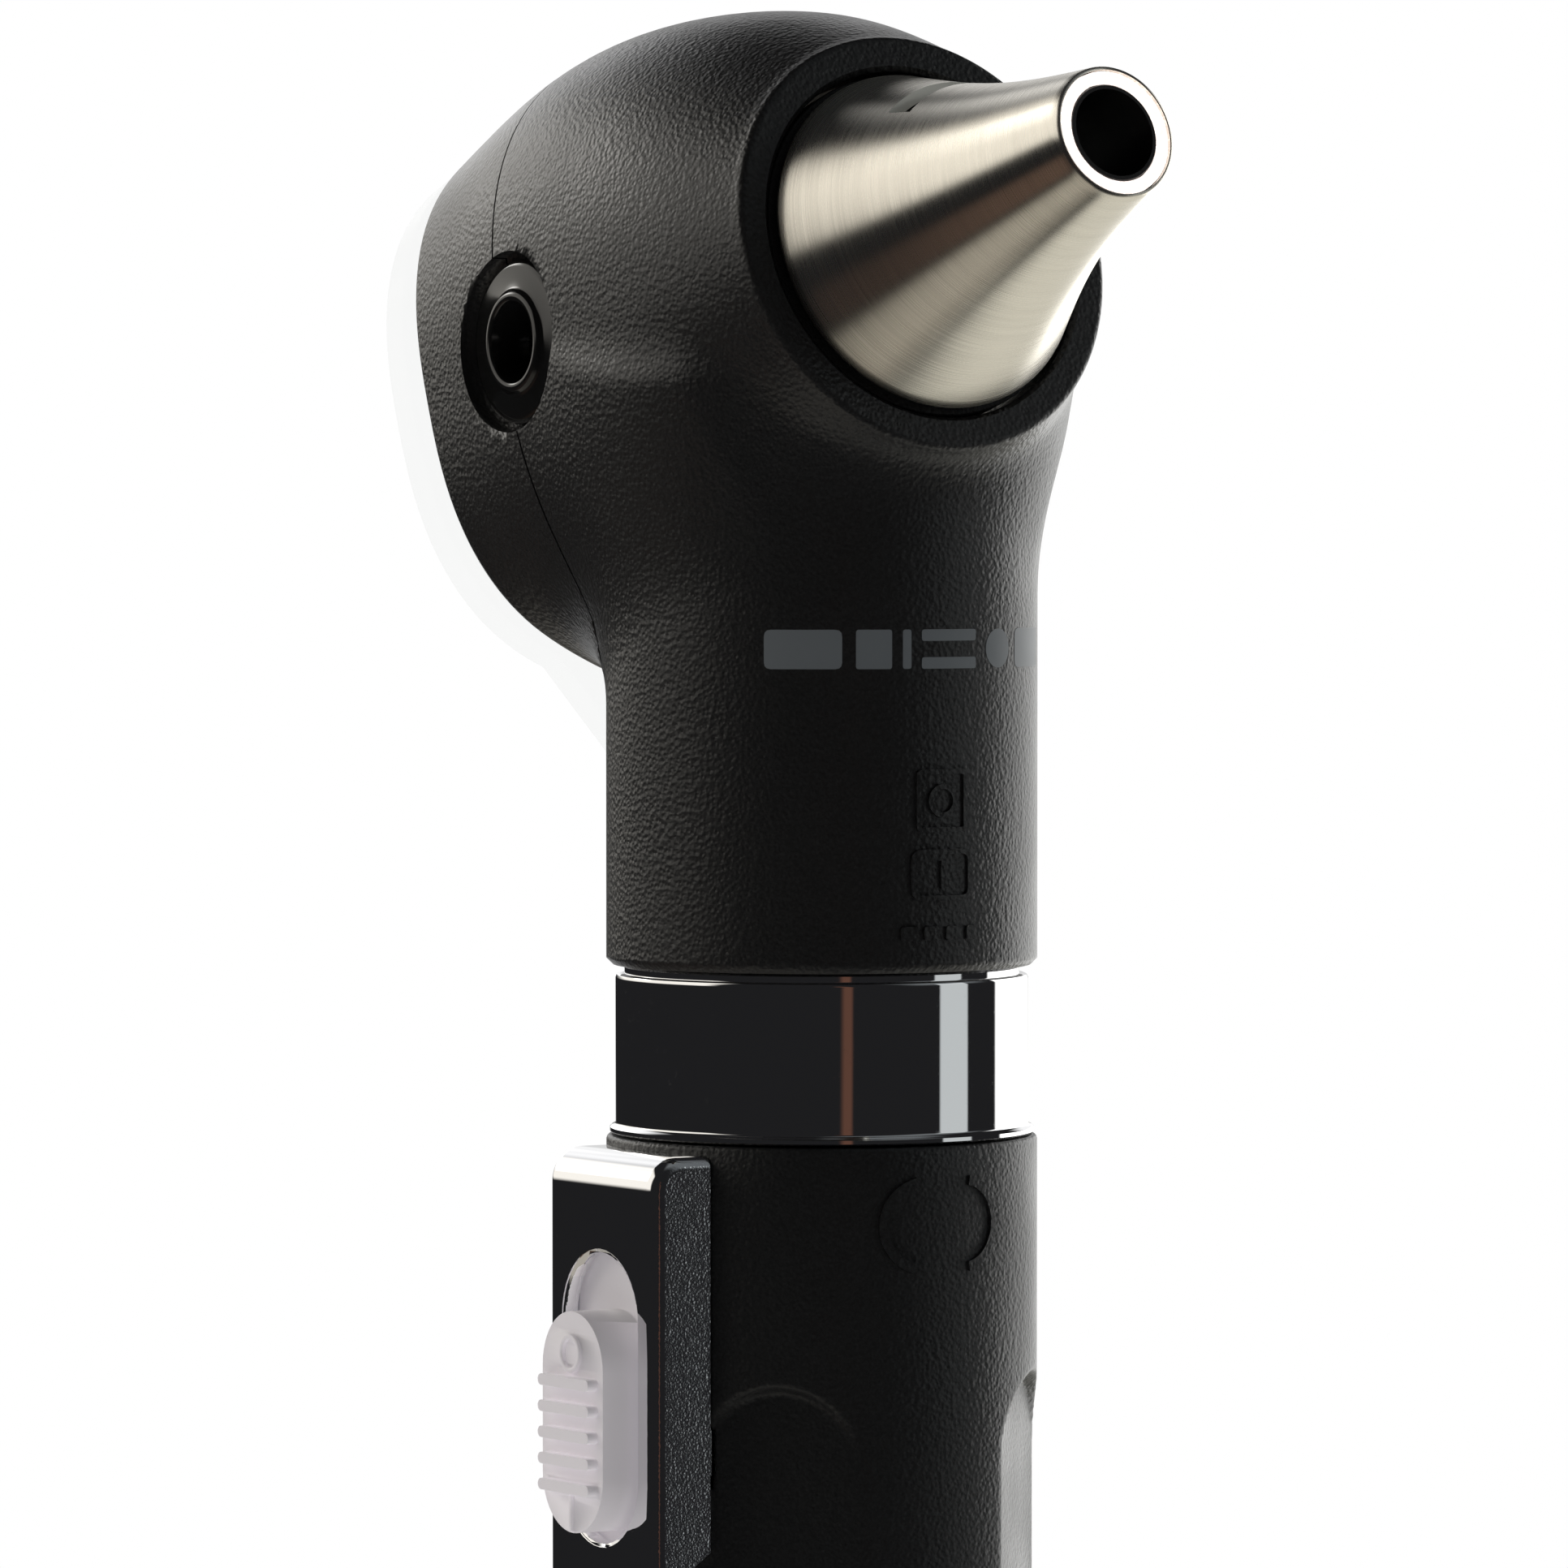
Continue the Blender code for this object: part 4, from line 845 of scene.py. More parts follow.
def head_solid(name, inset, ends, bottom, rings, columns, neck_rings, round_front=0.0, round_rear=0.0):
    """The head as one closed solid: rings along the optical axis, and a patch that runs down the neck."""
    front, rear = ends
    stations = np.linspace(front + round_front, rear - round_rear, rings + 1)
    turns = np.arange(columns) / columns * 2 * pi
    grid = rays_to_surface(stations, turns, inset)
    rows = list(grid)
    if round_front:
        rows = rolled_edge(grid[0], RIM_CENTRE - stations[0] * FORWARD, FORWARD, round_front)[::-1] + rows
    added = len(rows) - len(grid)
    if round_rear:
        rows += rolled_edge(grid[-1], RIM_CENTRE - stations[-1] * FORWARD, REARWARD, round_rear)
    grid = np.array(rows)
    half = round(columns * NECK_PATCH_HALF_DEGREES / 360)
    margin = max(1, rings // 14)
    first, last, down = added + margin, added + rings - margin, columns // 2
    shape = bmesh.new()
    corners = {}

    def corner(i, j):
        key = (i, j % columns)
        if key not in corners:
            corners[key] = shape.verts.new(grid[key] * MM)
        return corners[key]

    for i in range(len(grid) - 1):
        for j in range(columns):
            if not (first <= i < last and -half <= j - down < half):
                shape.faces.new((corner(i, j), corner(i + 1, j), corner(i + 1, j + 1), corner(i, j + 1)))
    loop = [(first, down + j) for j in range(-half, half)]
    loop += [(i, down + half) for i in range(first, last)]
    loop += [(last, down + j) for j in range(half, -half, -1)]
    loop += [(i, down - half) for i in range(last, first, -1)]
    upper = np.array([grid[i, j % columns] for i, j in loop])
    around = np.unwrap(np.arctan2(upper[:, 1], upper[:, 0]))
    direction = np.sign(around[half + 3] - around[half])
    angles = around[half] + direction * (np.arange(len(loop)) - half) * 2 * pi / len(loop)
    lower = np.stack([np.cos(angles), np.sin(angles), np.zeros(len(loop))], -1) * (NECK_R - inset)
    lower[:, 2] = bottom
    above = [corner(i, j) for i, j in loop]
    loose = list(above)
    for step in range(1, neck_rings + 1):
        share = step / neck_rings
        points = upper * (1 - share) + lower * share
        if step < neck_rings:
            points = onto_surface(points, inset)
        below = [shape.verts.new(point * MM) for point in points]
        if step < neck_rings:
            loose += below
        bridge(shape, [above, below])
        above = below
    every_axis = {"use_axis_x": True, "use_axis_y": True, "use_axis_z": True}
    for _ in range(14):
        bmesh.ops.smooth_vert(shape, verts=loose, factor=0.5, **every_axis)
        moved = onto_surface(np.array([vert.co for vert in loose]) / MM, inset, rounds=3)
        for vert, place in zip(loose, moved):
            vert.co = Vector(place) * MM
    bmesh.ops.holes_fill(shape, edges=[edge for edge in shape.edges if edge.is_boundary])
    return smooth(add_shape(name, shape), 40)


def seam_region(name, gap):
    """The space of the rear cover: behind the seam plane, and down the back of the neck."""
    top_z, turn_z, tongue_z, tongue_base_z = RIM_Z + 16, NECK_Z + 15.0, NECK_Z + 11.0, NECK_Z + 4.5

    def seam_y(z):
        return RIM_Y + (SEAM_STATION / cos(TILT)) + (z - RIM_Z) * tan(TILT)

    side = [(seam_y(top_z), top_z), (seam_y(turn_z), turn_z), (6.0, tongue_z), (6.0, tongue_base_z)]
    points = [(y + gap, z) for y, z in side]
    points[-1] = (points[-1][0], points[-1][1] + gap)
    points += [(30.0, tongue_base_z + gap), (30.0, top_z)]
    return outline(name, [points], 40.0, turn=FACING_FRONT)


# ---------------------------------------------------------------- head pieces


def build_head(finishes):
    """The housing and the rear cover, parted at the seam."""
    front = head_solid("housing_shell", 0.0, (0.0, REAR_STATION), NECK_Z, 56, 168, 46, 0.35, 0.7)
    inner_ends = (1.8, REAR_STATION - 1.9)
    boolean(front, head_solid("head_hollow", HEAD_WALL, inner_ends, NECK_Z - 1.0, 16, 64, 10))
    paint(front, finishes["head_plastic"])
    boolean(front, lathe("neck_chamfer", neck_chamfer_profile(), place=(0, 0, NECK_Z), segments=168))
    floor_z, hole_r, end_z = PORT_SURFACE - 0.95, 3.0, PORT_SURFACE - 5
    recess = [(0, 14.0), (4.25, 14.0), (4.0, PORT_SURFACE - 0.25), (4.0, floor_z), (hole_r, floor_z)]
    recess += [(hole_r, end_z), (0, end_z)]
    boolean(front, lathe("port_recess", recess, closed=False, segments=96, **PORT))
    rear = copy_of(front, "cover_shell")
    mouth = [(0, 1.0), (MOUTH_R + 0.2, 1.0), (MOUTH_R + 0.2, 0.0), (MOUTH_R, -0.2)]
    mouth += [(MOUTH_R, -4.0), (0, -4.0)]
    boolean(front, lathe("mouth_cut", mouth, closed=False, segments=168, **OPTICAL))
    boolean(front, seam_region("rear_region", 0.0))
    boolean(rear, seam_region("cover_region", 0.13), "INTERSECT")
    boolean(rear, outline("window_hole", [oval(7.6, 9.6, 9.6, 2.2, 96)], 7.0, **WINDOW))
    boolean(rear, lathe("pivot_boss", boss_profile(), closed=False, segments=96, **PIVOT), "UNION")
    boolean(rear, disc("pivot_hole", 1.25, 4.0, -4.0, **PIVOT))
    for piece, node in ((front, "head_housing"), (rear, "rear_cover")):
        smooth(piece, 32)
        keep(piece, "head", "black_plastic", node)


def neck_chamfer_profile():
    """A ring that takes a small chamfer off the foot of the neck."""
    size = 0.3
    return [(NECK_R + 1.0, 1.0), (NECK_R + 1.0, -1.0), (NECK_R - size - 1.0, -1.0), (NECK_R + 0.02, size)]


def boss_profile():
    edge = 0.25
    return [(0, 1.6), (2.9, 1.6), (2.9, -0.75 + edge), (2.9 - edge, -0.75), (0, -0.75)]


def cone_radius(along):
    share = (along - CONE_BASE) / (CONE_TIP - CONE_BASE)
    return CONE_BASE_R + (CONE_TIP_R - CONE_BASE_R) * share - CONE_WAIST * sin(pi * share)


def build_cone(finishes):
    """The brushed cone with its locking slot, the lit fibre ring and the dark tube, on the optical axis."""
    steps, lip = 40, 0.14
    alongs = [CONE_BASE + (CONE_TIP - lip - CONE_BASE) * i / steps for i in range(steps + 1)]
    outer = [(cone_radius(along), along) for along in alongs]
    base = [(CONE_BASE_R - 0.02, 0.08), (CONE_BASE_R - 0.12, 0.0), (CONE_BASE_R - 0.5, 0.0)]
    inner = [(r - 0.5 + 0.33 * (i / steps) ** 4, along) for i, (r, along) in enumerate(outer)]
    tip = [(CONE_TIP_R - drop, CONE_TIP - back) for drop, back in ((0.15, 0.02), (0.10, 0), (0.03, 0.03))]
    profile = outer[::-1] + base + inner + tip
    cone = lathe("cone_shell", profile, finishes["steel"], segments=192, **OPTICAL)
    boolean(cone, cone_slot_cutter())
    smooth(cone, 35)
    keep(cone, "head", "brushed_steel", "speculum_cone")

    face, gap = CONE_TIP - 0.12, 0.05
    bore_tip, bore_back = 2.14, 5.4
    bore = [(bore_at(along, bore_tip, bore_back), along) for along in alongs]
    sleeve = [(r - gap, along) for r, along in inner]
    sleeve = sleeve[2:-1] + [(sleeve[-1][0], face)]
    inside = [(r + 0.02, z) for r, z in bore[2:-1]] + [(bore_tip + 0.02, face)]
    fibres = lathe("fibre_sleeve", sleeve[::-1] + inside, finishes["fibre_ends"], **OPTICAL)
    keep(fibres, "head", "fibre_light", "fibre_ring")

    wall = 0.22
    tube = [(r, z) for r, z in bore[:-1]] + [(bore_tip - 0.01, face - 0.06), (bore_tip - 0.06, face)]
    tube_in = [(r - wall, z) for r, z in bore[:-1]] + [(bore_tip - wall, face)]
    tail = [(bore_back + 0.05, -2.6), (bore_back - wall, -2.6)]
    sight = lathe("sight_funnel", tube[::-1] + tail + tube_in, finishes["dark_tube"], **OPTICAL)
    keep(sight, "head", "black_plastic", "sight_tube")

    seat = rounded([(7.7, -0.35), (7.7, -1.7), (5.6, -1.7), (5.6, -0.35)], 0.12)
    seat_ring = lathe("seat_ring", seat, finishes["seat_plastic"], **OPTICAL)
    keep(seat_ring, "head", "black_plastic", "cone_seat")


def bore_at(along, tip_r, back_r):
    share = (along - CONE_BASE) / (CONE_TIP - CONE_BASE)
    return tip_r + (back_r - tip_r) * max(0.0, 1 - share) ** 1.4


def cone_slot_cutter():
    """A short curved slot, cut through the cone beside its root."""
    steps, middle, sweep = 16, radians(106), radians(52)
    low, high, inner_r, outer_r = 4.4, 5.6, 4.4, 8.4
    shape = bmesh.new()
    rows = []
    for i in range(steps + 1):
        angle = middle + sweep * (0.5 - i / steps)
        ends = [(low, outer_r), (high, outer_r), (high, inner_r), (low, inner_r)]
        rows.append([shape.verts.new(Vector((r * cos(angle), r * sin(angle), z)) * MM) for z, r in ends])
    bridge(shape, rows)
    shape.faces.new(rows[0])
    shape.faces.new(rows[-1])
    return add_shape("cone_slot", shape, **OPTICAL)


def build_port(finishes):
    """The small glossy nipple in the head's side, with a raised lip round its bore."""
    lip = PORT_BORE_R + 0.42
    top = PORT_SURFACE - 0.25
    profile = [
        (lip, top - 0.08),
        (lip + 0.06, top - 0.2),
        (lip + 0.22, top - 0.3),
        (PORT_R - 0.3, top - 0.26),
        (PORT_R - 0.08, top - 0.32),
        (PORT_R, top - 0.45),
        (PORT_R, PORT_SURFACE - 0.85),
        (2.8, PORT_SURFACE - 0.85),
        (2.8, PORT_SURFACE - 3.6),
        (PORT_BORE_R, PORT_SURFACE - 3.6),
        (PORT_BORE_R, top - 0.12),
        (PORT_BORE_R + 0.04, top - 0.04),
        (PORT_BORE_R + 0.12, top),
        (lip - 0.1, top),
    ]
    port = lathe("port_ring", profile, finishes["gloss_plastic"], **PORT)
    keep(smooth(port, 50), "head", "gloss_plastic", "insufflation_port")


def build_window(finishes):
    """The clear window with its pivot tab, the seal behind it and the slotted pin it swings on."""
    near, far = -1.05, -2.55
    thickness, middle = near - far, (near + far) / 2
    tab_r = 2.9
    body = [(x, y + PIVOT_DROP) for x, y in oval(10.9, 13.4, 12.4, 2.5, 160)]
    body = [point for point in body if point[1] > 5.6]
    body.sort(key=lambda point: atan2(point[0], point[1] - PIVOT_DROP))
    foot = [(tab_r * cos(a), tab_r * sin(a)) for a in np.linspace(radians(15), radians(-195), 40)]
    loops = [body + foot, circle(1.5)[::-1]]
    pane = outline("clear_window", loops, thickness, finishes["clear_plastic"], middle, **PIVOT)
    bevel(pane, 0.22, 4)
    keep(smooth(pane, 35), "window", "clear_plastic", "lens_window")

    loops = [oval(9.0, 11.0, 10.8, 2.3), oval(7.9, 9.9, 9.8, 2.2)]
    gasket = outline("window_seal", loops, 0.6, finishes["rubber"], -0.45, **WINDOW)
    bevel(gasket, 0.12, 3)
    keep(smooth(gasket, 35), "head", "rubber", "window_gasket")

    head = [(0, 1.2), (0.8, 1.2), (1.0, 1.0), (1.0, -2.75), (2.2, -2.75), (2.2, -3.1)]
    head += [(2.12, -3.25), (1.8, -3.42), (1.2, -3.5), (0, -3.5)]
    pin = lathe("window_pin", head, finishes["chrome"], closed=False, segments=96, **PIVOT)
    boolean(pin, box("pin_slot", (-1.6, -0.22, -3.8), (1.6, 0.22, -3.2), **PIVOT))
    keep(smooth(pin, 35), "head", "chrome", "window_pivot_pin")


# ---------------------------------------------------------------- handle pieces


def build_collar(finishes):
    """The chromed collar: a lip in the gap under the neck, a polished wall and a thin flange at its foot."""
    top, base = NECK_Z - 0.4, HANDLE_TOP_Z + 0.1
    profile = [
        (8.62, NECK_Z - 0.06),
        (8.7, NECK_Z - 0.14),
        (8.7, top + 0.02),
        (COLLAR_R - 0.2, top),
        (COLLAR_R - 0.06, top - 0.06),
        (COLLAR_R, top - 0.2),
        (COLLAR_R, base + 0.45),
        (COLLAR_R + 0.05, base + 0.36),
        (COLLAR_R + COLLAR_FLANGE - 0.08, base + 0.3),
        (COLLAR_R + COLLAR_FLANGE, base + 0.22),
        (COLLAR_R + COLLAR_FLANGE, base + 0.06),
        (COLLAR_R + COLLAR_FLANGE - 0.06, base),
        (COLLAR_BORE_R, base),
        (COLLAR_BORE_R, NECK_Z - 0.06),
    ]
    collar = lathe("collar_band", profile, finishes["chrome"], segments=192)
    keep(smooth(collar, 40), "handle", "chrome", "collar_ring")


def build_handle(finishes):
    """The grained tube, with four long flats that end in soft arches."""
    columns = 288
    rows = [(HANDLE_TOP_Z - down, -sunk) for down, sunk in ((0, 0.2), (0.03, 0.1), (0.1, 0.03), (0.2, 0))]
    heights = list(np.linspace(HANDLE_TOP_Z - 2, GRIP_TOP_Z + 1.0, 6))
    heights += list(np.arange(GRIP_TOP_Z + 0.6, GRIP_TOP_Z - 5.0, -0.14))
    heights += list(np.linspace(GRIP_TOP_Z - 7, GRIP_BASE_Z + 7, 16))
    heights += list(np.arange(GRIP_BASE_Z + 5.0, GRIP_BASE_Z - 0.6, -0.14))
    heights += list(np.linspace(GRIP_BASE_Z - 1.5, HANDLE_BASE_Z + 0.6, 5))
    rows += [(z, 0) for z in heights]
    rows += [(HANDLE_BASE_Z + 0.4, 0), (HANDLE_BASE_Z + 0.12, -0.1), (HANDLE_BASE_Z, -0.4)]
    shape = bmesh.new()
    grid = []
    for z, shift in rows:
        grid.append([shape.verts.new(handle_point(turn, z, shift) * MM) for turn in turns_of(columns)])
    grid += [ring_of(shape, BORE_R, z, columns) for z in (HANDLE_BASE_Z, HANDLE_TOP_Z)]
    bridge(shape, grid + grid[:1])
    handle = add_shape("handle_tube", shape, finishes["handle_plastic"])
    boolean(handle, box("switch_pocket", (-12.0, -3.7, NECK_Z - 29.0), (-9.2, 3.7, CLIP_TOP_Z - 1.0)))
    boolean(handle, box("switch_window", (-12.0, -1.7, NECK_Z - 25.0), (-6.5, 1.7, NECK_Z - 15.0)))
    for side in (-1, 1):
        low_y, high_y = sorted((side * 3.6, side * 4.12))
        low, high = (-12.0, low_y, NECK_Z - 22.4), (-7.6, high_y, NECK_Z - 17.6)
        boolean(handle, box(f"tab_slot_{side}", low, high))
    keep(smooth(handle, 40), "handle", "black_plastic", "handle_body")


def handle_point(angle, z, shift):
    """A point of the tube's outside, sunk to a flat inside each of the four arched outlines."""
    off = (angle - pi / 4) % (pi / 2)
    off = min(off, pi / 2 - off)
    flat_r = GRIP_FLAT_DISTANCE / cos(off)
    across = min(HANDLE_R * sin(off), GRIP_HALF_WIDTH)
    arch = np.sqrt(max(GRIP_HALF_WIDTH**2 - across**2, 0.0))
    inside = min(GRIP_TOP_Z - GRIP_HALF_WIDTH + arch - z, z - GRIP_BASE_Z - GRIP_HALF_WIDTH + arch)
    share = min(max(inside / GRIP_EDGE_WIDTH + 0.15, 0.0), 1.0)
    share = share * share * (3 - 2 * share)
    radius = HANDLE_R - max(HANDLE_R - flat_r, 0.0) * share + shift
    return Vector((radius * cos(angle), radius * sin(angle), z))


def build_clip(finishes):
    """The folded chromed channel that holds the switch, running down into the springy tongue."""
    face, sheet, half = CLIP_FACE_X, CLIP_SHEET, CLIP_HALF_WIDTH
    low_z = CLIP_BASE_Z
    clip = clip_block()
    channel = [(-5.0, CLIP_TOP_Z - sheet), (-face + sheet, CLIP_TOP_Z - sheet)]
    channel += [(-face + sheet, low_z + 9), (-face + sheet - 1.2, low_z - 1.7), (-5.0, low_z - 1.7)]
    boolean(clip, outline("clip_channel", [channel], 2 * (half - sheet), turn=(pi / 2, 0, 0)))
    boolean(clip, disc("clip_saddle", HANDLE_R + 0.05, CLIP_TOP_Z + 2, low_z - 2, segments=192))
    boolean(clip, slot_cutter("clip_slot", 0.0, -3.0, 3.0))
    boolean(clip, slot_cutter("slot_flare", 0.16, -1.0, 0.08))
    bump = box("clip_bump", (-11.4, -1.5, low_z + 6.0), (-9.8, 1.5, low_z + 8.4), edge=0.5, segments=5)
    boolean(clip, bump, "UNION")
    for edge in (-1, 1):
        low_y, high_y = sorted((edge * 3.75, edge * 4.05))
        low, high = (-9.4, low_y, NECK_Z - 21.8), (-7.9, high_y, NECK_Z - 18.2)
        boolean(clip, box(f"clip_tab_{edge}", low, high), "UNION")
    paint(clip, finishes["chrome"], finishes["folded_chrome"])
    for face_of in clip.data.polygons:
        face_of.material_index = 1 if abs(face_of.normal.y) > 0.8 else 0
    keep(smooth(clip, 30), "handle", "chrome", "pocket_clip")


def slot_cutter(name, wider, low, high):
    """The slot's outline, grown by wider, from low to high inward of the clip's face."""
    loop = stadium(SLOT_HALF_WIDTH + wider, SLOT_TOP_Z + wider, SLOT_BASE_Z - wider)
    middle_x = -CLIP_FACE_X + (low + high) / 2
    return outline(name, [loop], high - low, place=(middle_x, 0, 0), turn=FACING_FRONT)


def clip_block():
    """The clip's outside: its face curls in at the top and flicks out at the foot, between round folds."""
    face, half, low_z = CLIP_FACE_X, CLIP_HALF_WIDTH, CLIP_BASE_Z
    deep, shallow, curl, fold = CLIP_DEEP_EDGE_X, CLIP_SHALLOW_EDGE_X, 1.5, 0.6
    path = [(-deep, CLIP_TOP_Z)]
    for i in range(17):
        angle = pi / 2 + pi / 2 * i / 16
        path.append((-face + curl + curl * cos(angle), CLIP_TOP_Z - curl + curl * sin(angle)))
    path += [(-face, low_z + 40 - 4 * i) for i in range(7)]
    foot = [(-face, low_z + 14), (-face, low_z + 9), (-face - 0.9, low_z + 1.0), (-face - 0.8, low_z)]
    path += rounded_path(foot, 0.4)
    back = [(-face + 0.3, low_z), (-shallow, low_z + 9), (-shallow, CLIP_STEP_Z - 1.0), (-deep, CLIP_STEP_Z)]
    shape = bmesh.new()
    rows = []
    for i, (x, z) in enumerate(path):
        before, after = path[max(i - 1, 0)], path[min(i + 1, len(path) - 1)]
        along = Vector((after[0] - before[0], after[1] - before[1])).normalized()
        inward = Vector((-along.y, along.x))
        row = []
        for side in (-1, 1):
            for k in range(9):
                turn = pi / 2 * (k if side < 0 else 8 - k) / 8
                sunk = fold * (1 - sin(turn))
                y = side * (half - fold + fold * cos(turn))
                row.append(shape.verts.new(Vector((x + inward.x * sunk, y, z + inward.y * sunk)) * MM))
        rows.append(row)
    for upper, lower in zip(rows, rows[1:]):
        for k in range(len(upper) - 1):
            shape.faces.new((upper[k], upper[k + 1], lower[k + 1], lower[k]))
    sides = [[shape.verts.new(Vector((x, side * half, z)) * MM) for x, z in back] for side in (-1, 1)]
    for edge, chain in ((0, sides[0]), (-1, sides[1])):
        shape.faces.new([row[edge] for row in rows] + chain)
    for k in range(len(back) - 1):
        shape.faces.new((sides[0][k], sides[0][k + 1], sides[1][k + 1], sides[1][k]))
    shape.faces.new(rows[-1] + [sides[1][0], sides[0][0]])
    shape.faces.new(rows[0] + [sides[1][-1], sides[0][-1]])
    return add_shape("clip_channel_body", shape)


def rounded_path(points, radius):
    """An open path with its middle corners rounded."""
    made = [points[0]]
    for before, corner, after in zip(points, points[1:], points[2:]):
        made += eased_corner(before, corner, after, radius, 5)
    made.append(points[-1])
    return made


def build_switch(finishes):
    """The slide: its base plate behind the clip's slot, the rounded knob, its ribs, ring and bar."""
    plate_low, plate_high = NECK_Z - 28.0 - KNOB_MIDDLE_Z, NECK_Z - 12.3 - KNOB_MIDDLE_Z
    knob_half = (KNOB_TOP_Z - KNOB_BASE_Z) / 2
    slide = box("slide_knob", (-0.5, -3.4, plate_low), (0.3, 3.4, plate_high), edge=0.12, **SWITCH)
    loop = stadium(KNOB_HALF_WIDTH, knob_half, -knob_half, 24)
    knob = outline("knob_body", [loop], 2.9, middle=-1.45, turn=FACING_FRONT, **SWITCH)
    boolean(slide, bevel(knob, 0.7, 8), "UNION")
    for rib in range(KNOB_RIBS):
        z = 1.75 - KNOB_RIB_PITCH * rib
        bar = outline(f"knob_rib_{rib}", [stadium(0.25, 2.1, -2.1, 8)], 0.95, **SWITCH)
        moved = Matrix.Translation(Vector((-2.925, 0, z)) * MM)
        bar.data.transform(moved @ Matrix.Rotation(pi / 2, 4, "Y"))
        boolean(slide, bevel(bar, 0.2, 4), "UNION")
    ring_z, bar_z = 3.0, -3.95
    profile = rounded([(0.86, 0.28), (0.86, -0.3), (0.62, -0.3), (0.62, 0.28)], 0.1)
    ring_place = (-SWITCH_X - 2.82, 0, KNOB_MIDDLE_Z + ring_z)
    ring = lathe("knob_ring", profile, segments=64, place=ring_place, turn=(0, -pi / 2, 0))
    boolean(slide, ring, "UNION")
    mark = box("knob_bar", (-3.06, -0.14, bar_z - 0.8), (-2.6, 0.14, bar_z + 0.8), edge=0.08, **SWITCH)
    boolean(slide, mark, "UNION")
    boolean(slide, box("knob_foot", (0.0, -1.2, -1.5), (1.3, 1.2, 1.5), **SWITCH), "UNION")
    paint(slide, finishes["slide_plastic"])
    keep(smooth(slide, 38), "switch", "grey_plastic", "switch_slider")


def build_cap(finishes):
    """The screw cap: a lacquered ring of fine flutes, a chamfered foot and the plug with its thread."""
    columns, flutes, flute_depth = 288, 36, 0.28
    profile = [(9.2, 8.0), (9.4, 7.93), (9.5, 7.7), (9.5, 6.9), (9.5, 6.7), (9.5, 6.5), (9.5, 2.6)]
    profile += [(9.5, 2.4), (9.5, 2.2), (9.5, 1.1), (9.38, 0.6), (9.0, 0.18), (8.5, 0.0), (7.6, 0.0)]
    profile += [(7.3, 0.18), (0.0, 0.18)]
    fluted = ((9.5, 6.5), (9.5, 2.6))
    plug = [(0.0, 2.0), (5.9, 2.0), (5.9, 13.3), (6.1, 13.6), (7.05, 13.6), (7.25, 13.4), (7.25, 10.2)]
    plug += [(6.5, 10.0), (6.5, 9.0), (7.25, 8.8), (7.25, 8.0)]
    shape = bmesh.new()
    skirt = [ring_of(shape, radius, z, columns) for radius, z in profile]
    for row in (ring for ring, point in zip(skirt, profile) if point in fluted):
        for vert, turn in zip(row, turns_of(columns)):
            radius = HANDLE_R - flute_depth * (0.5 - 0.5 * cos(flutes * turn)) ** 0.7
            vert.co.xy = radius * cos(turn) * MM, radius * sin(turn) * MM
    bridge(shape, skirt)
    bridge(shape, [ring_of(shape, radius, z, columns) for radius, z in plug] + skirt[:1])
    cap = add_shape("screw_cap", shape, finishes["cap_lacquer"])
    keep(smooth(cap, 35), "cap", "black_metal", "end_cap")
    thread = helix_tube("cap_thread", finishes["machined"], 7.2, 0.2, 10.6, 1.8, 1.5, steps=64)
    keep(thread, "cap", "black_metal")
    profile = [(7.1 + 0.4 * cos(turn), 9.5 - 0.33 * sin(turn)) for turn in turns_of(24)]
    seal = lathe("cap_ring_seal", profile, finishes["rubber"])
    keep(seal, "cap_ring", "rubber", "cap_seal")
    coil = helix_tube("battery_coil", finishes["spring_wire"], 5.0, 0.38, 3.45, 2.05, 5, end_radius=3.2)
    keep(coil, "cap", "spring_steel", "battery_spring")


# ---------------------------------------------------------------- marks


def head_radius(angle, z):
    """How far the head's surface is from the handle's axis, at an angle and a height."""
    outward = np.array([cos(angle), sin(angle), 0.0])
    level = np.array([0.0, 0.0, z])
    return float(sign_change(lambda reach: head_field(level + reach * outward), 6.0, 16.0))


def tube_radius(_angle, _z):
    return HANDLE_R


def wrapped(name, loops, angle, z, radius_at, height, material, body):
    """A thin raised mark: flat outlines wrapped round the neck or the handle, facing an angle about Z."""
    grid_step, grid_reach, sunk = 0.3, 36, 0.08
    mark = outline(name, loops, 1.0)
    shape = bmesh.new()
    shape.from_mesh(mark.data)
    for axis in (Vector((1, 0, 0)), Vector((0, 1, 0))):
        for i in range(-grid_reach, grid_reach + 1):
            parts = shape.verts[:] + shape.edges[:] + shape.faces[:]
            point = axis * i * grid_step * MM
            bmesh.ops.bisect_plane(shape, geom=parts, plane_co=point, plane_no=axis, dist=1e-9)
    for vert in shape.verts:
        x, y, side = vert.co / MM
        turn = angle + x / HANDLE_R
        radius = radius_at(turn, z + y) + (height if side > 0 else -sunk)
        vert.co = Vector((radius * cos(turn), radius * sin(turn), z + y)) * MM
    bmesh.ops.recalc_face_normals(shape, faces=shape.faces)
    shape.to_mesh(mark.data)
    shape.free()
    mark.data.materials.append(material)
    slot = "grey_plastic" if "printed" in name else "black_plastic"
    return keep(smooth(mark, 40), body, slot)


def bar_loop(low_x, high_x, low_y, high_y, radius=0.12):
    return rounded([(low_x, low_y), (high_x, low_y), (high_x, high_y), (low_x, high_y)], radius, 3)


def frame_loops(half_width, half_height, line, radius=0.3):
    outer = bar_loop(-half_width, half_width, -half_height, half_height, radius)
    inner_w, inner_h = half_width - line, half_height - line
    return [outer, bar_loop(-inner_w, inner_w, -inner_h, inner_h, max(radius - line, 0.05))[::-1]]


